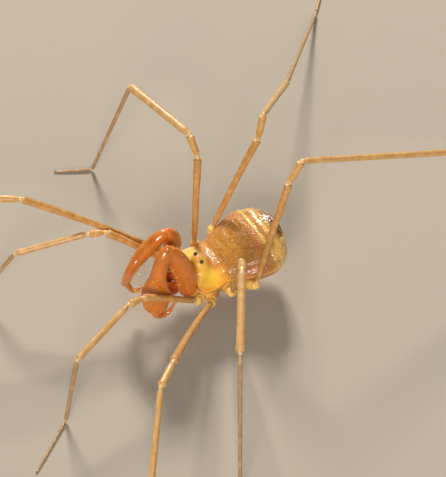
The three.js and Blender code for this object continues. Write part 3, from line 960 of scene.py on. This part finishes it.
    def _plate(self, body: BMesh, node: str, index: int,
               finish: bpy.types.Material) -> None:
        """Makes the shield (index -1) or one free plate, with its rear edge bent down.

        Args:
            body: A copy of the whole shell.
            node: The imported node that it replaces.
            index: Which cut lies in front of it.
            finish: Its material.
        """
        last = index == len(self.cuts) - 1
        if index >= 0:
            point, back = self.planes[index]
            self._slice(body, point - back * self.overlap, -back)
        if not last:
            point, back = self.planes[index + 1]
            for vert in body.verts:
                away = (point - vert.co).dot(back)
                self._sink(vert, self.lip * (bell(away, 0.0, self.lip_width) if away > 0 else 1.0))
            self._slice(body, point - back * self.plate_gap, back)
        if index >= 0:
            for vert in body.verts:
                self._sink(vert, self.plate_step * (index + 1))
        self._slice(body, Vector((0.0, 0.0, self.rear_seam if last else self.seam)), -UP)
        finish_piece(f"{node}_shell", body, finish, self.paint, [node])

    @staticmethod
    def _slice(body: BMesh, point: Vector, out: Vector) -> None:
        """Cuts off what lies on the side that out points to, and closes the cut."""
        geometry = body.verts[:] + body.edges[:] + body.faces[:]
        cut = bmesh.ops.bisect_plane(body, geom=geometry, plane_co=point, plane_no=out,
                                     clear_outer=True, dist=1e-5)["geom_cut"]
        bmesh.ops.holes_fill(body, edges=[g for g in cut if isinstance(g, BMEdge)])

    def _granules(self, finish: bpy.types.Material) -> None:
        """Granules in rows along the shield's areas, and scattered between them."""
        draw = random.Random(self.seed)
        crowd = Crowd()
        places: list[tuple[float, float, float]] = []
        for row, spread, size in self.granule_rows:
            half = self.half_at(row) * 0.76
            count = int(half * 2 / self.granule_step)
            for i in range(count):
                x = mix(-half, half, (i + 0.5) / count) + draw.uniform(-0.05, 0.05)
                places.append((x, row + draw.uniform(-spread, spread),
                               size * draw.uniform(0.55, 1.1)))
        for count, span, inset, sizes in self.granule_fields:
            for _ in range(count):
                y = draw.uniform(*span)
                half = self.half_at(y) * inset
                places.append((draw.uniform(-half, half), y, draw.uniform(*sizes)))
        for x, y, size in places:
            place, normal, root = self.top_at(x, y)
            crowd.add(add_granule, root, place - normal * size * 0.25, size, normal, 0.9)
        crowd.finish("shield_granules", finish, "shield", self.paint_granule)

    def _eyes(self) -> None:
        """The two black eyes on the mound."""
        finish = EYE_FINISH.build()
        x, y, z = self.eye_place
        for side in Side:
            body = bmesh.new()
            verts = bmesh.ops.create_uvsphere(body, u_segments=32, v_segments=20,
                                              radius=self.eye_radius)["verts"]
            bmesh.ops.translate(body, verts=verts, vec=Vector((side.value * x, y, z)))
            finish_piece(f"eye_{side.label}_lens", body, finish, Palette.EYE,
                         [f"eye_{side.label}"])


HIPS = ((1.75, -2.09, 0.0), (2.09, -1.38, -0.25), (2.24, 0.0, 0.0), (2.6, 1.46, 0.1))
COXA_ROOTS = ((0.5, -0.7, -0.35), (0.6, -0.3, -0.45), (0.7, 0.25, -0.45), (0.8, 0.7, -0.45))
COXA_HALF = (0.42, 0.42, 0.46, 0.62)
TROCHANTER = 0.3
PALP_HIP = (1.08, -2.36, 2.5)
PALP_ROOT = (0.6, -1.2, -0.2)
PALP_COXA_HALF = 0.38


def in_body(place: tuple[float, float, float], side: Side) -> Vector:
    """A place given for the left side, with its height over the hips' level."""
    x, y, rise = place
    return Vector((side.value * x, y, HIP_HEIGHT + rise))


def hip_of(pair: int, side: Side) -> Vector:
    """Centre of a leg's trochanter, for pair 0 to 3."""
    return in_body(HIPS[pair], side)


def coxa_root(pair: int, side: Side) -> Vector:
    """Inner end of a leg's coxa, for pair 0 to 3."""
    return in_body(COXA_ROOTS[pair], side)


def palp_hip(side: Side) -> Vector:
    """Centre of a pedipalp's trochanter."""
    return Vector((side.value * PALP_HIP[0], *PALP_HIP[1:]))


@dataclass
class Underside:
    """The belly with the coxae of all limbs and the plate between them, under one skin."""

    trunk: Trunk
    rings_of_belly: tuple[float, ...] = (1.9, 2.5, 3.05, 3.55, 4.0)
    plate_span: Span = (0.35, 1.35)
    plate_half: Span = (0.42, 0.12)
    voxel: float = 0.045
    passes: int = 3

    def belly_surface(self, share: float, angle: float) -> Vector:
        """A place on the belly, whose upper half only fills the shield from inside.

        Args:
            share: Share of the way from the rear end to the front end.
            angle: Angle round the body.

        Returns:
            The place in millimetres.
        """
        trunk = self.trunk
        y, half = trunk.section(share)
        half = max(half, 0.0) * trunk.belly_inset
        full = math.sin(min(1.0, half / trunk.full_width) * math.pi / 2)
        sine = math.sin(angle)
        rise = trunk.belly if sine < 0 else 0.1
        return Vector((math.cos(angle) * half, y, trunk.margin_at(y) - 0.1 + sine * rise * full))

    def relief(self, place: Vector) -> float:
        """Height of the folds between the belly's plates and of the skin's granules."""
        low = ease(2.3, 1.7, place.z)
        height = 0.01 * grainy(place, 0.3) + 0.014 * pebbles(place, 0.12) * ease(1.3, 1.8, place.z)
        for ring in self.rings_of_belly:
            height -= 0.05 * bell(place.y, ring, 0.06) * low * ease(1.8, 1.2, abs(place.x))
        return height

    def paint(self, place: Vector) -> Rgb:
        """Colour of the underside: paler in the folds, warmer on the coxae."""
        rose = ease(-0.3, 0.4, grainy(place, 0.5))
        colour = blend(Palette.BELLY, Palette.SCUTUM_ROSE, 0.6 * rose)
        reach = min((place - hip_of(pair, side)).length for pair in range(4) for side in Side)
        colour = blend(colour, Palette.TROCHANTER, ease(1.0, 0.35, reach))
        for ring in self.rings_of_belly:
            colour = blend(colour, Palette.MEMBRANE, 0.6 * bell(place.y, ring, 0.05)
                           * ease(2.2, 1.8, place.z))
        return colour

    def build(self) -> None:
        """Makes the underside piece."""
        body = bmesh.new()
        round_form(body, 96, 80, self.belly_surface)
        for side in Side:
            for pair in range(4):
                self._coxa(body, coxa_root(pair, side), hip_of(pair, side), COXA_HALF[pair])
            root = in_body(PALP_ROOT, side)
            self._coxa(body, root, palp_hip(side), PALP_COXA_HALF)
        round_form(body, 32, 16, self._operculum)
        skin = melt(body, self.voxel, self.passes)
        skin.normal_update()
        for vert, normal in [(vert, vert.normal.copy()) for vert in skin.verts]:
            vert.co += normal * self.relief(vert.co)
        finish_piece("underside_skin", skin, BELLY_FINISH.build(), self.paint,
                     ["underside"])

    @staticmethod
    def _coxa(body: BMesh, root: Vector, hip: Vector, half: float) -> None:
        """Adds one coxa, which swells at its root and ends in a rim before the trochanter."""
        axis = (hip - root).normalized()
        tip = hip - axis * TROCHANTER * 0.5
        path = Path(root, (root + tip) / 2 + Vector((0, 0, -0.06)), tip, UP)
        knots = ((0.0, half * 0.8), (0.45, half), (0.8, TROCHANTER), (1.0, TROCHANTER * 1.1))
        Limb(path, knots, knots, 0.45).add(body, 32, 28)

    def _operculum(self, share: float, angle: float) -> Vector:
        """The oval plate between the last coxae."""
        across = math.sin(share * math.pi)
        y = mix(*self.plate_span, (1 - math.cos(share * math.pi)) / 2)
        depth = self.trunk.margin_at(y) - self.trunk.belly - 0.02
        half, height = self.plate_half
        return Vector((math.cos(angle) * across * half, y,
                       depth + math.sin(angle) * across * height))


PALP_TARSUS: Knots = ((0, 0.24), (0.25, 0.17), (0.65, 0.14), (1, 0.08))
PALP_ACROSS: dict[str, Knots] = {
    "femur": ((0, 0.4), (0.3, 0.44), (0.7, 0.44), (1, 0.3)),
    "shank": ((0, 0.3), (0.16, 0.43), (0.34, 0.47), (0.5, 0.44), (0.68, 0.36), (0.86, 0.28),
              (1, 0.2)),
    "tarsus": PALP_TARSUS}
PALP_ALONG: dict[str, Knots] = {
    "femur": ((0, 0.52), (0.3, 0.64), (0.65, 0.66), (0.83, 0.55), (0.93, 0.37), (1, 0.22)),
    "shank": ((0, 0.34), (0.16, 0.48), (0.34, 0.47), (0.46, 0.53), (0.57, 0.72), (0.68, 0.9),
              (0.78, 0.9), (0.88, 0.76), (1, 0.5)),
    "tarsus": PALP_TARSUS}


@dataclass(frozen=True)
class SpineRow:
    """A row of spines on one part of a pedipalp."""

    part: str
    facing: tuple[float, float]
    first: float
    last: float
    count: int
    length: float


SPINE_ROWS = (
    SpineRow("femur", (0.25, -1), 0.3, 0.62, 3, 0.3),
    SpineRow("shank", (-0.5, 0.6), 0.2, 0.3, 2, 0.34),
    SpineRow("shank", (-1, 0.1), 0.52, 0.9, 4, 0.5),
    SpineRow("shank", (0.2, 1), 0.55, 0.8, 3, 0.26),
    SpineRow("tarsus", (-0.8, 0.6), 0.3, 0.8, 3, 0.26))


@dataclass
class Pedipalp:
    """One swollen pedipalp, folded in front of the head, with its spines and claw.

    The shank is the patella and the tibia together, which run smoothly into each other.
    """

    side: Side
    base: Vector
    knee: Vector
    shin: Vector
    wrist: Vector
    toe: Vector
    claw: Vector
    femur_bow: float = 0.3
    tarsus_sag: float = 0.6
    shin_share: float = 0.35
    trochanter: float = 0.36
    knee_ball: float = 0.2
    wrist_ball: float = 0.24
    voxel: float = 0.035
    passes: int = 16
    bristle: tuple[float, float] = (0.14, 0.012)

    FACING = {"femur": (1, -0.35), "shank": (0.84, -0.54), "tarsus": (0.84, -0.54)}
    SEGMENTS = ("femur", "patella", "tibia", "tarsus")

    @property
    def node(self) -> str:
        """First part of the names of its nodes."""
        return f"pedipalp_{self.side.label}"

    @cached_property
    def limbs(self) -> dict[str, Limb]:
        """The femur, the shank and the tarsus, each on its own bowed path."""
        at = self.shin_share
        bend = (self.shin - self.knee * (1 - at) ** 2 - self.wrist * at ** 2) / (2 * at * (1 - at))
        femur = self._bow(self.base, self.knee, back=self.femur_bow)
        tarsus = self._bow(self.wrist, self.toe, up=-self.tarsus_sag)
        ends = {"femur": (self.base, femur, self.knee), "shank": (self.knee, bend, self.wrist),
                "tarsus": (self.wrist, tarsus, self.toe)}
        return {name: Limb(Path(*points, self.side.outwards(*self.FACING[name])),
                           PALP_ACROSS[name], PALP_ALONG[name], 0.8)
                for name, points in ends.items()}

    @staticmethod
    def _bow(start: Vector, end: Vector, back: float = 0.0, up: float = 0.0) -> Vector:
        """The middle point of a bend that bulges by so much half way along."""
        return (start + end) / 2 + Vector((0.0, back, up)) * 2

    def paint(self, place: Vector) -> Rgb:
        """Colour of the cuticle: redder low down and inside from painted shade, brighter at the
        joints from a painted glow.
        """
        # Painted shade: the lower parts near the head turn redder, as they look in shade.
        low = ease(4.4, 2.6, place.z) * ease(-3.6, -2.9, place.y)
        cloud = ease(-0.4, 0.5, grainy(place, 1.1))
        colour = blend(Palette.PALP, Palette.PALP_PALE_AND_GLOW, 0.35 * cloud)
        # Painted glow and highlight: the cuticle is brighter round the shin and the knee.
        joint = min((place - self.shin).length, (place - self.knee).length + 0.25)
        colour = blend(colour, Palette.PALP_PALE_AND_GLOW, 0.8 * ease(0.75, 0.3, joint))
        return blend(colour, Palette.PALP_RED, 0.8 * low)

    def build(self, cuticle: bpy.types.Material, spine: bpy.types.Material) -> None:
        """Makes the pedipalp's skin, its spines and its granules.

        Args:
            cuticle: Finish of the skin.
            spine: Finish of the spines and claw.
        """
        knob = bmesh.new()
        axis = (self.base - palp_hip(self.side)).normalized()
        round_form(knob, 28, 20, lambda share, angle: self._knob(share, angle, axis))
        finish_piece(f"{self.node}_trochanter_skin", knob, cuticle, Palette.TROCHANTER,
                     [f"{self.node}_trochanter"])
        body = bmesh.new()
        for limb in self.limbs.values():
            limb.add(body, 48, 48)
        for centre, radius in ((self.knee, self.knee_ball), (self.wrist, self.wrist_ball)):
            made = bmesh.ops.create_icosphere(body, subdivisions=3, radius=radius)["verts"]
            bmesh.ops.translate(body, verts=made, vec=centre)
        skin = melt(body, self.voxel, self.passes)
        finish_piece(f"{self.node}_skin", skin, cuticle, self.paint,
                     [f"{self.node}_{name}" for name in self.SEGMENTS])
        self._spines(spine)
        self._granules(spine)

    def _knob(self, share: float, angle: float, axis: Vector) -> Vector:
        """A place on the rounded trochanter, a little longer than wide."""
        turn = UP.rotation_difference(axis).to_matrix()
        ring = math.sin(share * math.pi) * self.trochanter
        height = -math.cos(share * math.pi) * self.trochanter * 1.1
        return palp_hip(self.side) + turn @ Vector((math.cos(angle) * ring, math.sin(angle) * ring,
                                                    height))

    def _spines(self, finish: bpy.types.Material) -> None:
        """Spines on raised sockets along the grasping side, and the claw."""
        body = bmesh.new()
        for row in SPINE_ROWS:
            limb = self.limbs[row.part]
            for i in range(row.count):
                share = mix(row.first, row.last, i / (row.count - 1))
                place, out = limb.outside(share, self.side.outwards(*row.facing))
                tangent = limb.path.tangent(share)
                reach = row.length * (0.75 if i % 2 else 1.0)
                made = bmesh.ops.create_icosphere(body, subdivisions=2, radius=0.075)["verts"]
                bmesh.ops.translate(body, verts=made, vec=place - out * 0.02)
                add_spine(body, place - out * 0.05, out + tangent * 0.3, reach + 0.1, 0.048,
                          curl=tangent * reach * 0.25)
        hook = self.claw - self.toe
        add_spine(body, self.toe - hook.normalized() * 0.1, hook, hook.length + 0.1, 0.085, 10,
                  self.side.outwards(-0.15, -0.1, 0), 9)
        finish_piece(f"{self.node}_spines", body, finish, Palette.SPINE)

    def _granules(self, finish: bpy.types.Material) -> None:
        """Rows of small raised dots, each with a short bristle, on the outer side."""
        draw = random.Random(23 + self.side.value)
        rows = (("femur", (1, -0.2), 0.12, 0.95, 9), ("femur", (0.7, 0.8), 0.2, 0.95, 7),
                ("femur", (0.1, 1), 0.3, 0.9, 5), ("shank", (0.8, -0.6), 0.08, 0.9, 8),
                ("shank", (0.3, -1), 0.5, 0.95, 4))
        crowd = Crowd()
        for number, (name, facing, first, last, count) in enumerate(rows):
            limb = self.limbs[name]
            for i in range(count):
                share = mix(first, last, i / (count - 1)) + draw.uniform(-0.02, 0.02)
                turn = self.side.outwards(facing[0] + draw.uniform(-0.12, 0.12),
                                          facing[1] + draw.uniform(-0.12, 0.12), 0.1)
                place, out = limb.outside(share, turn)
                root = ((number + 0.5) / len(rows), share)
                crowd.add(add_granule, root, place - out * 0.012, draw.uniform(0.03, 0.042), out)
                aim = (out + limb.path.tangent(share) * 0.5).normalized()
                crowd.add(add_hair, root, place, aim, *self.bristle)
        crowd.finish(f"{self.node}_granules", finish, "palp", Palette.GRANULE)


@dataclass
class Chelicera:
    """One of the two short pincers under the front of the head."""

    side: Side
    x: float = 0.38
    y: float = -1.95
    z: float = 2.85
    reach: float = 1.7
    arch: float = 0.45
    arm: tuple[float, float] = (0.36, 0.52)
    hand: tuple[float, float] = (0.37, 0.74)
    finger: float = 0.45
    voxel: float = 0.04
    passes: int = 3

    def build(self, cuticle: bpy.types.Material) -> None:
        """Makes the arm, the hand and the two fingers as one piece."""
        root = Vector((self.side.value * self.x, self.y, self.z))
        out = self.side.value * self.x * 1.05
        knuckle = Vector((out, self.y - self.reach * 0.55, self.z + self.arch))
        wrist = Vector((out, self.y - self.reach, self.z - 0.35))
        body = bmesh.new()
        arm, tall = (((0, half * 0.7), (0.5, half), (1, half)) for half in self.arm)
        across, along = (((0, half * 0.75), (0.45, half), (1, half * 0.6)) for half in self.hand)
        hint = Vector((1, 0, 0))
        Limb(Path(root, (root + knuckle) / 2, knuckle, hint), arm, tall, 0.8).add(body, 32, 24)
        Limb(Path(knuckle, (knuckle + wrist) / 2 + Vector((0, -0.06, 0.04)), wrist, hint),
             across, along).add(body, 36, 28)
        skin = melt(body, self.voxel, self.passes)
        colour_form(skin, Palette.PINCER)
        for spread in (-1, 1):
            tip = Vector((-self.side.value * 0.2, -0.25 + spread * 0.3, -1.0))
            base = wrist + Vector((0, spread * 0.08, 0.14))
            verts = add_spine(skin, base, tip, self.finger, 0.11, 12,
                              Vector((0, -spread * 0.16, 0)), 8)
            colour_form(skin, Palette.CLAW, verts)
        finish_piece(f"chelicera_{self.side.label}_skin", skin, cuticle, Palette.PALP,
                     [f"chelicera_{self.side.label}"])


@dataclass(frozen=True)
class Station:
    """One ring of a leg: its middle, its directions, its radius and the leg's part there."""

    centre: Vector
    tangent: Vector
    side: Vector
    depth: Vector
    radius: float
    part: int
    joint: float

    def surface(self, angle: float) -> Vector:
        """The place on the ring at an angle."""
        return self.centre + self.out(angle) * self.radius

    def out(self, angle: float) -> Vector:
        """The way out of the ring at an angle."""
        return self.side * math.cos(angle) + self.depth * math.sin(angle)


LEG_PROFILES: dict[Segment, Knots] = {
    Segment.FEMUR: ((0, 0.18), (0.15, 0.185), (0.5, 0.2), (0.85, 0.235), (1, 0.23)),
    Segment.PATELLA: ((0, 0.2), (0.55, 0.22), (1, 0.235)),
    Segment.TIBIA: ((0, 0.19), (0.5, 0.19), (0.92, 0.2), (1, 0.19)),
    Segment.METATARSUS: ((0, 0.15), (0.5, 0.125), (1, 0.11)),
    Segment.TARSUS: ((0, 0.105), (0.7, 0.085), (1, 0.06))}


# Distances of the close rings from the start and from the end of a segment.
RINGS_AFTER = (0.0, 0.05, 0.1, 0.16, 0.23)
RINGS_BEFORE = (0.13, 0.09, 0.06, 0.035, 0.018, 0.008, 0.0)


@dataclass
class Leg:
    """One leg from its trochanter to its claws, as one skin, with its hairs."""

    pair: int
    side: Side
    lengths: tuple[float, float, float, float, float]
    angles: tuple[tuple[float, float], tuple[float, float], tuple[float, float]]
    turns: tuple[float, float]
    bow: float = 0.05
    ankle: float = 0.11
    toe: float = 0.08
    coat_top: float = 10.6
    hair_length: Span = (0.06, 0.13)
    hair_radius: float = 0.008
    granule_size: Span = (0.014, 0.026)
    shank: float = 1.0
    step: float = 0.13
    bend: float = 0.11
    around: int = 18

    @property
    def label(self) -> str:
        """First part of the names of its nodes."""
        return f"leg_{self.pair + 1}_{self.side.label}"

    def heading(self, yaw: float, pitch: float) -> Vector:
        """Direction for a yaw in degrees and a pitch in radians."""
        turn = math.radians(yaw)
        return Vector((self.side.value * math.cos(turn) * math.cos(pitch),
                       -math.sin(turn) * math.cos(pitch), math.sin(pitch)))

    @cached_property
    def joints(self) -> list[Vector]:
        """The six joints from hip to toe, with the foot brought down to the floor."""
        points = [hip_of(self.pair, self.side)]
        for (yaw, pitch), length in zip(self.angles, self.lengths):
            points.append(points[-1] + self.heading(yaw, math.radians(pitch)) * length)
        for yaw, length, height in zip(self.turns, self.lengths[3:], (self.ankle, self.toe)):
            pitch = math.asin((height - points[-1].z) / length)
            points.append(points[-1] + self.heading(yaw, pitch) * length)
        return points

    def _radius(self, segment: Segment, share: float, length: float) -> float:
        """Radius of a segment, with a neck at its base and a cup at its end."""
        radius = follow(LEG_PROFILES[segment], share)
        start, left = share * length, (1 - share) * length
        radius *= mix(0.66, 1.0, ease(0.0, 0.3, start))
        radius *= 1.0 + 0.1 * bell(left, 0.12, 0.12)
        if segment is Segment.TIBIA:
            radius *= self.shank
        if segment is Segment.TARSUS:
            count = max(5, round(length / 0.42))
            radius *= 1.0 - 0.16 * abs(math.cos(math.pi * count * share)) ** 8
            return radius * math.sqrt(min(1.0, left / 0.08))
        return radius * mix(0.6, 1.0, math.sqrt(min(1.0, left / 0.07)))

    @cached_property
    def stations(self) -> list[Station]:
        """The rings of the whole leg, from inside the coxa to the toe."""
        points = self.joints
        rows = self._trochanter_rows()
        for segment in Segment:
            start, end = points[segment.value], points[segment.value + 1]
            length = (end - start).length
            middle = (start + end) / 2
            if segment is Segment.FEMUR:
                middle = middle + UP * self.bow * length
            path = Path(start, middle, end, UP)
            first = 0.4 if segment is Segment.FEMUR else self.bend
            last = length if segment is Segment.TARSUS else length - self.bend
            fine = self.step * (0.5 if segment is Segment.TARSUS else 1.0)
            places = [first + d for d in RINGS_AFTER]
            count = max(2, round((last - first - 0.46) / fine))
            places += [mix(first + 0.3, last - 0.2, i / count) for i in range(count + 1)]
            places += [last - d for d in RINGS_BEFORE]
            for at in places:
                share = at / length
                joint = min(at, length - at)
                radius = self._radius(segment, (at - first) / (last - first), last - first)
                rows.append((path.point(share), radius, segment.value + 1, joint))
            if segment is not Segment.TARSUS:
                following = (points[segment.value + 2] - end).normalized()
                before = path.point(1 - self.bend / length)
                turn = Path(before, end, end + following * self.bend, UP)
                neck = rows[-1][1]
                for share in (0.25, 0.5, 0.75):
                    rows.append((turn.point(share), neck, segment.value + 1, 0.0))
        return self._frame_rows(rows)

    def _trochanter_rows(self) -> list[Row]:
        """The rings of the rounded trochanter, which narrows to the femur's neck."""
        hip, knee = self.joints[:2]
        inner = hip + (coxa_root(self.pair, self.side) - hip).normalized() * TROCHANTER * 0.95
        path = Path(inner, hip, hip + (knee - hip).normalized() * 0.36, UP)
        steps = 12
        rows = []
        for i in range(steps):
            share = i / steps
            swell = TROCHANTER * math.sqrt(max(0.0, 1.0 - (1.0 - min(1.0, share * 2.6)) ** 2))
            rows.append((path.point(share), mix(swell, 0.15, ease(0.62, 1.0, share)), 0, 1.0))
        return rows

    def _frame_rows(self, rows: Sequence[Row]) -> list[Station]:
        """Gives each ring its directions."""
        hint = (self.joints[5] - self.joints[0]).cross(UP).normalized()
        made = []
        for index, (centre, radius, part, joint) in enumerate(rows):
            before = rows[max(0, index - 1)][0]
            after = rows[min(len(rows) - 1, index + 1)][0]
            tangent = (after - before).normalized()
            side = (hint - tangent * hint.dot(tangent)).normalized()
            made.append(Station(centre, tangent, side, tangent.cross(side), radius, part, joint))
        return made

    def surface(self, share: float, angle: float) -> Vector:
        """A place on the skin.

        Args:
            share: Share of the way along the rings.
            angle: Angle round the leg.

        Returns:
            The place in millimetres.
        """
        station = self.stations[round(share * (len(self.stations) - 1))]
        place = station.surface(angle)
        rough = 0.012 if station.part < 4 else 0.005
        rough *= min(1.0, station.radius / 0.1)
        return place + station.out(angle) * (rough * grainy(place, 0.11))

    def paint(self, station: Station, place: Vector) -> Rgb:
        """Colour of the skin, paler in a ring at each joint and darker on the upper parts.

        Args:
            station: The ring.
            place: A place on it.

        Returns:
            The linear colour.
        """
        plain = (Palette.TROCHANTER, Palette.FEMUR, Palette.PATELLA, Palette.TIBIA,
                 Palette.LEG_END, Palette.LEG_END)[station.part]
        speck = grainy(place, 0.3)
        colour = blend(plain, Palette.MEMBRANE, 0.3 * ease(0.1, 0.5, speck))
        colour = blend(colour, Palette.PALP, 0.3 * ease(-0.1, -0.5, speck))
        return blend(colour, Palette.MEMBRANE, 0.7 * ease(0.14, 0.08, station.joint))

    def build(self, cuticle: bpy.types.Material) -> None:
        """Makes the leg's skin and its claws as one piece.

        Args:
            cuticle: Its finish.
        """
        body = bmesh.new()
        last = len(self.stations) - 1
        laid = round_form(body, self.around, last, self.surface)
        for vert, share, _ in laid:
            station = self.stations[round(share * last)]
            colour_form(body, self.paint(station, vert.co), [vert])
        aim = (self.joints[5] - self.joints[4]).normalized()
        for spread in ((0,) if self.pair < 2 else (-24, 24)):
            out = Quaternion(UP, math.radians(spread)) @ aim
            verts = add_spine(body, self.joints[5] - aim * 0.08, out, 0.3, 0.04, 8,
                              Vector((0, 0, -0.035)), 6)
            colour_form(body, Palette.CLAW, verts)
        finish_piece(f"{self.label}_skin", body, cuticle, Palette.FEMUR,
                     [f"{self.label}_{segment.label}" for segment in Segment])

    def add_coat(self, hairs: Crowd, granules: Crowd, draw: random.Random) -> None:
        """Adds the leg's short hairs and granules to the crowds of all legs.

        Args:
            hairs: The crowd of hairs.
            granules: The crowd of granules.
            draw: The seeded source of their places.
        """
        number = self.pair * 2 + (self.side is Side.RIGHT)
        last = len(self.stations) - 1
        for index, station in enumerate(self.stations[:-4]):
            if station.radius < 0.05 or (station.part and station.joint < 0.14):
                continue
            for _ in range(2 if station.part < 5 else 1):
                turn = draw.uniform(0, TURN)
                out = station.out(turn)
                place = station.surface(turn)
                aim = (out + station.tangent * 0.9).normalized()
                length = draw.uniform(*self.hair_length)
                root = ((number + turn / TURN) / 8, index / last)
                if 0.01 < (place + aim * length).z < self.coat_top:
                    hairs.add(add_hair, root, place - out * 0.01, aim, length,
                              self.hair_radius)
            for _ in range(3 if station.part < 4 else 0):
                turn = draw.uniform(0, TURN)
                place = station.surface(turn) + station.tangent * draw.uniform(-0.05, 0.05)
                root = ((number + turn / TURN) / 8, index / last)
                size = draw.uniform(*self.granule_size)
                granules.add(add_granule, root, place, size, station.out(turn))


def legs() -> list[Leg]:
    """The eight legs, in the pose of the photograph."""
    lengths = ((4.66, 1.09, 4.64, 4.56, 4.0), (10.66, 2.04, 7.9, 8.5, 4.3),
               (6.13, 1.54, 5.57, 9.3, 2.3), (7.37, 1.65, 10.7, 10.8, 2.9))
    poses = {
        Side.LEFT: (
            (((91.7, 35.5), (81.1, 10.5), (72.4, -11.1)), (62.6, 54.5)),
            (((45.0, 32.1), (51.2, 3.4), (36.7, -20.3)), (36.7, 36.7)),
            (((16.6, 68.7), (31.0, 33.7), (32.6, -9.1)), (31.1, 31.1)),
            (((-112.1, 63.4), (-93.8, 56.2), (-81.9, -20.5)), (-81.9, -81.9))),
        Side.RIGHT: (
            (((55.4, 35.4), (66.8, 1.9), (66.5, -14.3)), (62.0, 62.0)),
            (((57.4, 29.7), (59.9, 3.4), (59.9, -17.7)), (59.9, 59.9)),
            (((-38.0, 69.9), (1.4, 50.9), (9.7, -3.8)), (39.4, 62.9)),
            (((-90.9, 63.6), (-55.4, 62.4), (-42.1, -36.9)), (-43.3, -43.3)))}
    shanks = (1.0, 1.0, 1.3, 1.0)
    return [Leg(pair, side, lengths[pair], *poses[side][pair], shank=shanks[pair])
            for side in Side for pair in range(4)]


def palps() -> list[Pedipalp]:
    """The two pedipalps, each in its own pose."""
    left = ((1.2, -2.5, 2.75), (0.33, -3.35, 6.84), (0.54, -4.05, 5.38), (1.13, -4.71, 2.22),
            (1.17, -3.35, 2.63), (1.02, -3.4, 3.03))
    right = ((-1.2, -2.5, 2.75), (-0.87, -2.66, 6.75), (-1.12, -3.95, 5.6), (-1.69, -5.15, 2.55),
             (-1.4, -4.3, 1.9), (-1.1, -4.0, 1.5))
    return [Pedipalp(Side.LEFT, *map(Vector, left)),
            Pedipalp(Side.RIGHT, *map(Vector, right), femur_bow=0.36)]


@dataclass(frozen=True)
class Lamp:
    """One soft area light, seen from the animal."""

    name: str
    direction: tuple[float, float, float]
    away: float
    size: float
    power: float
    colour: Rgb

    def build(self) -> None:
        """Makes the light."""
        data = bpy.data.lights.new(self.name, "AREA")
        data.size = self.size
        data.energy = self.power
        data.color = self.colour
        light = bpy.data.objects.new(self.name, data)
        way = Vector(self.direction).normalized()
        light.location = way * self.away
        light.rotation_euler = way.to_track_quat("Z", "Y").to_euler()
        bpy.context.scene.collection.objects.link(light)


@dataclass
class Studio:
    """The pale floor, the soft lights and the camera with the photograph's view."""

    target: tuple[float, float, float] = (-3.398, 2.775, 0.0)
    azimuth: float = 58.76
    elevation: float = 50.53
    distance: float = 202.5
    focal_pixels: float = 3240.0
    frame_width: float = 446.0
    sensor: float = 36.0
    lamps: tuple[Lamp, ...] = (
        Lamp("key_light", (-0.7, 0.32, 0.58), 0.5, 0.1, 3.0, (1.0, 0.97, 0.92)),
        Lamp("fill_light", (0.9, -0.75, 0.8), 0.7, 0.24, 4.1, (1.0, 0.98, 0.95)))
    sky: tuple[float, float, float, float] = (0.88, 0.87, 0.86, 1.0)
    sky_strength: float = 0.15
    floor_colour: tuple[float, float, float, float] = (0.4, 0.343, 0.272, 1.0)

    def build(self) -> None:
        """Makes the floor, the lights and the camera."""
        self._camera()
        self._floor()
        for lamp in self.lamps:
            lamp.build()
        world = bpy.data.worlds.new("soft_room")
        world.use_nodes = True
        background = world.node_tree.nodes["Background"]
        background.inputs["Color"].default_value = self.sky
        background.inputs["Strength"].default_value = self.sky_strength
        bpy.context.scene.world = world
        bpy.context.scene.view_settings.view_transform = "Standard"

    def _camera(self) -> None:
        """The camera, aimed by its azimuth and elevation at the target on the floor."""
        turn, rise = math.radians(self.azimuth), math.radians(self.elevation)
        look = Vector((-math.sin(turn) * math.cos(rise), math.cos(turn) * math.cos(rise),
                       -math.sin(rise)))
        data = bpy.data.cameras.new("camera")
        data.sensor_fit = "HORIZONTAL"
        data.sensor_width = self.sensor
        data.lens = self.sensor * self.focal_pixels / self.frame_width
        data.clip_start = 0.001
        data.clip_end = 10.0
        camera = bpy.data.objects.new("camera", data)
        camera.location = PLACE @ (Vector(self.target) - look * self.distance)
        camera.rotation_euler = look.to_track_quat("-Z", "Y").to_euler()
        bpy.context.scene.collection.objects.link(camera)
        bpy.context.scene.camera = camera

    def _floor(self) -> None:
        """A plain pale floor."""
        body = bmesh.new()
        bmesh.ops.create_grid(body, x_segments=1, y_segments=1, size=0.6)
        mesh = bpy.data.meshes.new("floor")
        body.to_mesh(mesh)
        body.free()
        material = bpy.data.materials.new("floor_paint")
        material.use_nodes = True
        shader = material.node_tree.nodes["Principled BSDF"]
        shader.inputs["Base Color"].default_value = self.floor_colour
        shader.inputs["Roughness"].default_value = 0.85
        mesh.materials.append(material)
        floor = bpy.data.objects.new("floor", mesh)
        bpy.context.scene.collection.objects.link(floor)


def build_leg_coat(finish: bpy.types.Material) -> None:
    """Makes the hairs and the granules of all legs as two joined pieces.

    Args:
        finish: The finish of the granules.
    """
    draw = random.Random(5)
    hairs, granules = Crowd(), Crowd()
    for leg in legs():
        leg.add_coat(hairs, granules, draw)
    hairs.finish("leg_hairs", HAIR_FINISH.build(), "leg", Palette.HAIR)
    granules.finish("leg_granules", finish, "leg", Palette.MEMBRANE)


def main() -> None:
    """Builds the studio and the animal, piece by piece."""
    logging.basicConfig(level=logging.INFO, format="%(name)s %(message)s")
    Studio().build()
    trunk = Trunk()
    trunk.build()
    Underside(trunk).build()
    palp_cuticle, spine_cuticle = PALP_FINISH.build(), SPINE_FINISH.build()
    for palp in palps():
        palp.build(palp_cuticle, spine_cuticle)
    for side in Side:
        Chelicera(side).build(palp_cuticle)
    leg_cuticle = LEG_FINISH.build()
    for leg in legs():
        leg.build(leg_cuticle)
    build_leg_coat(leg_cuticle)


if __name__ == "__main__":
    main()
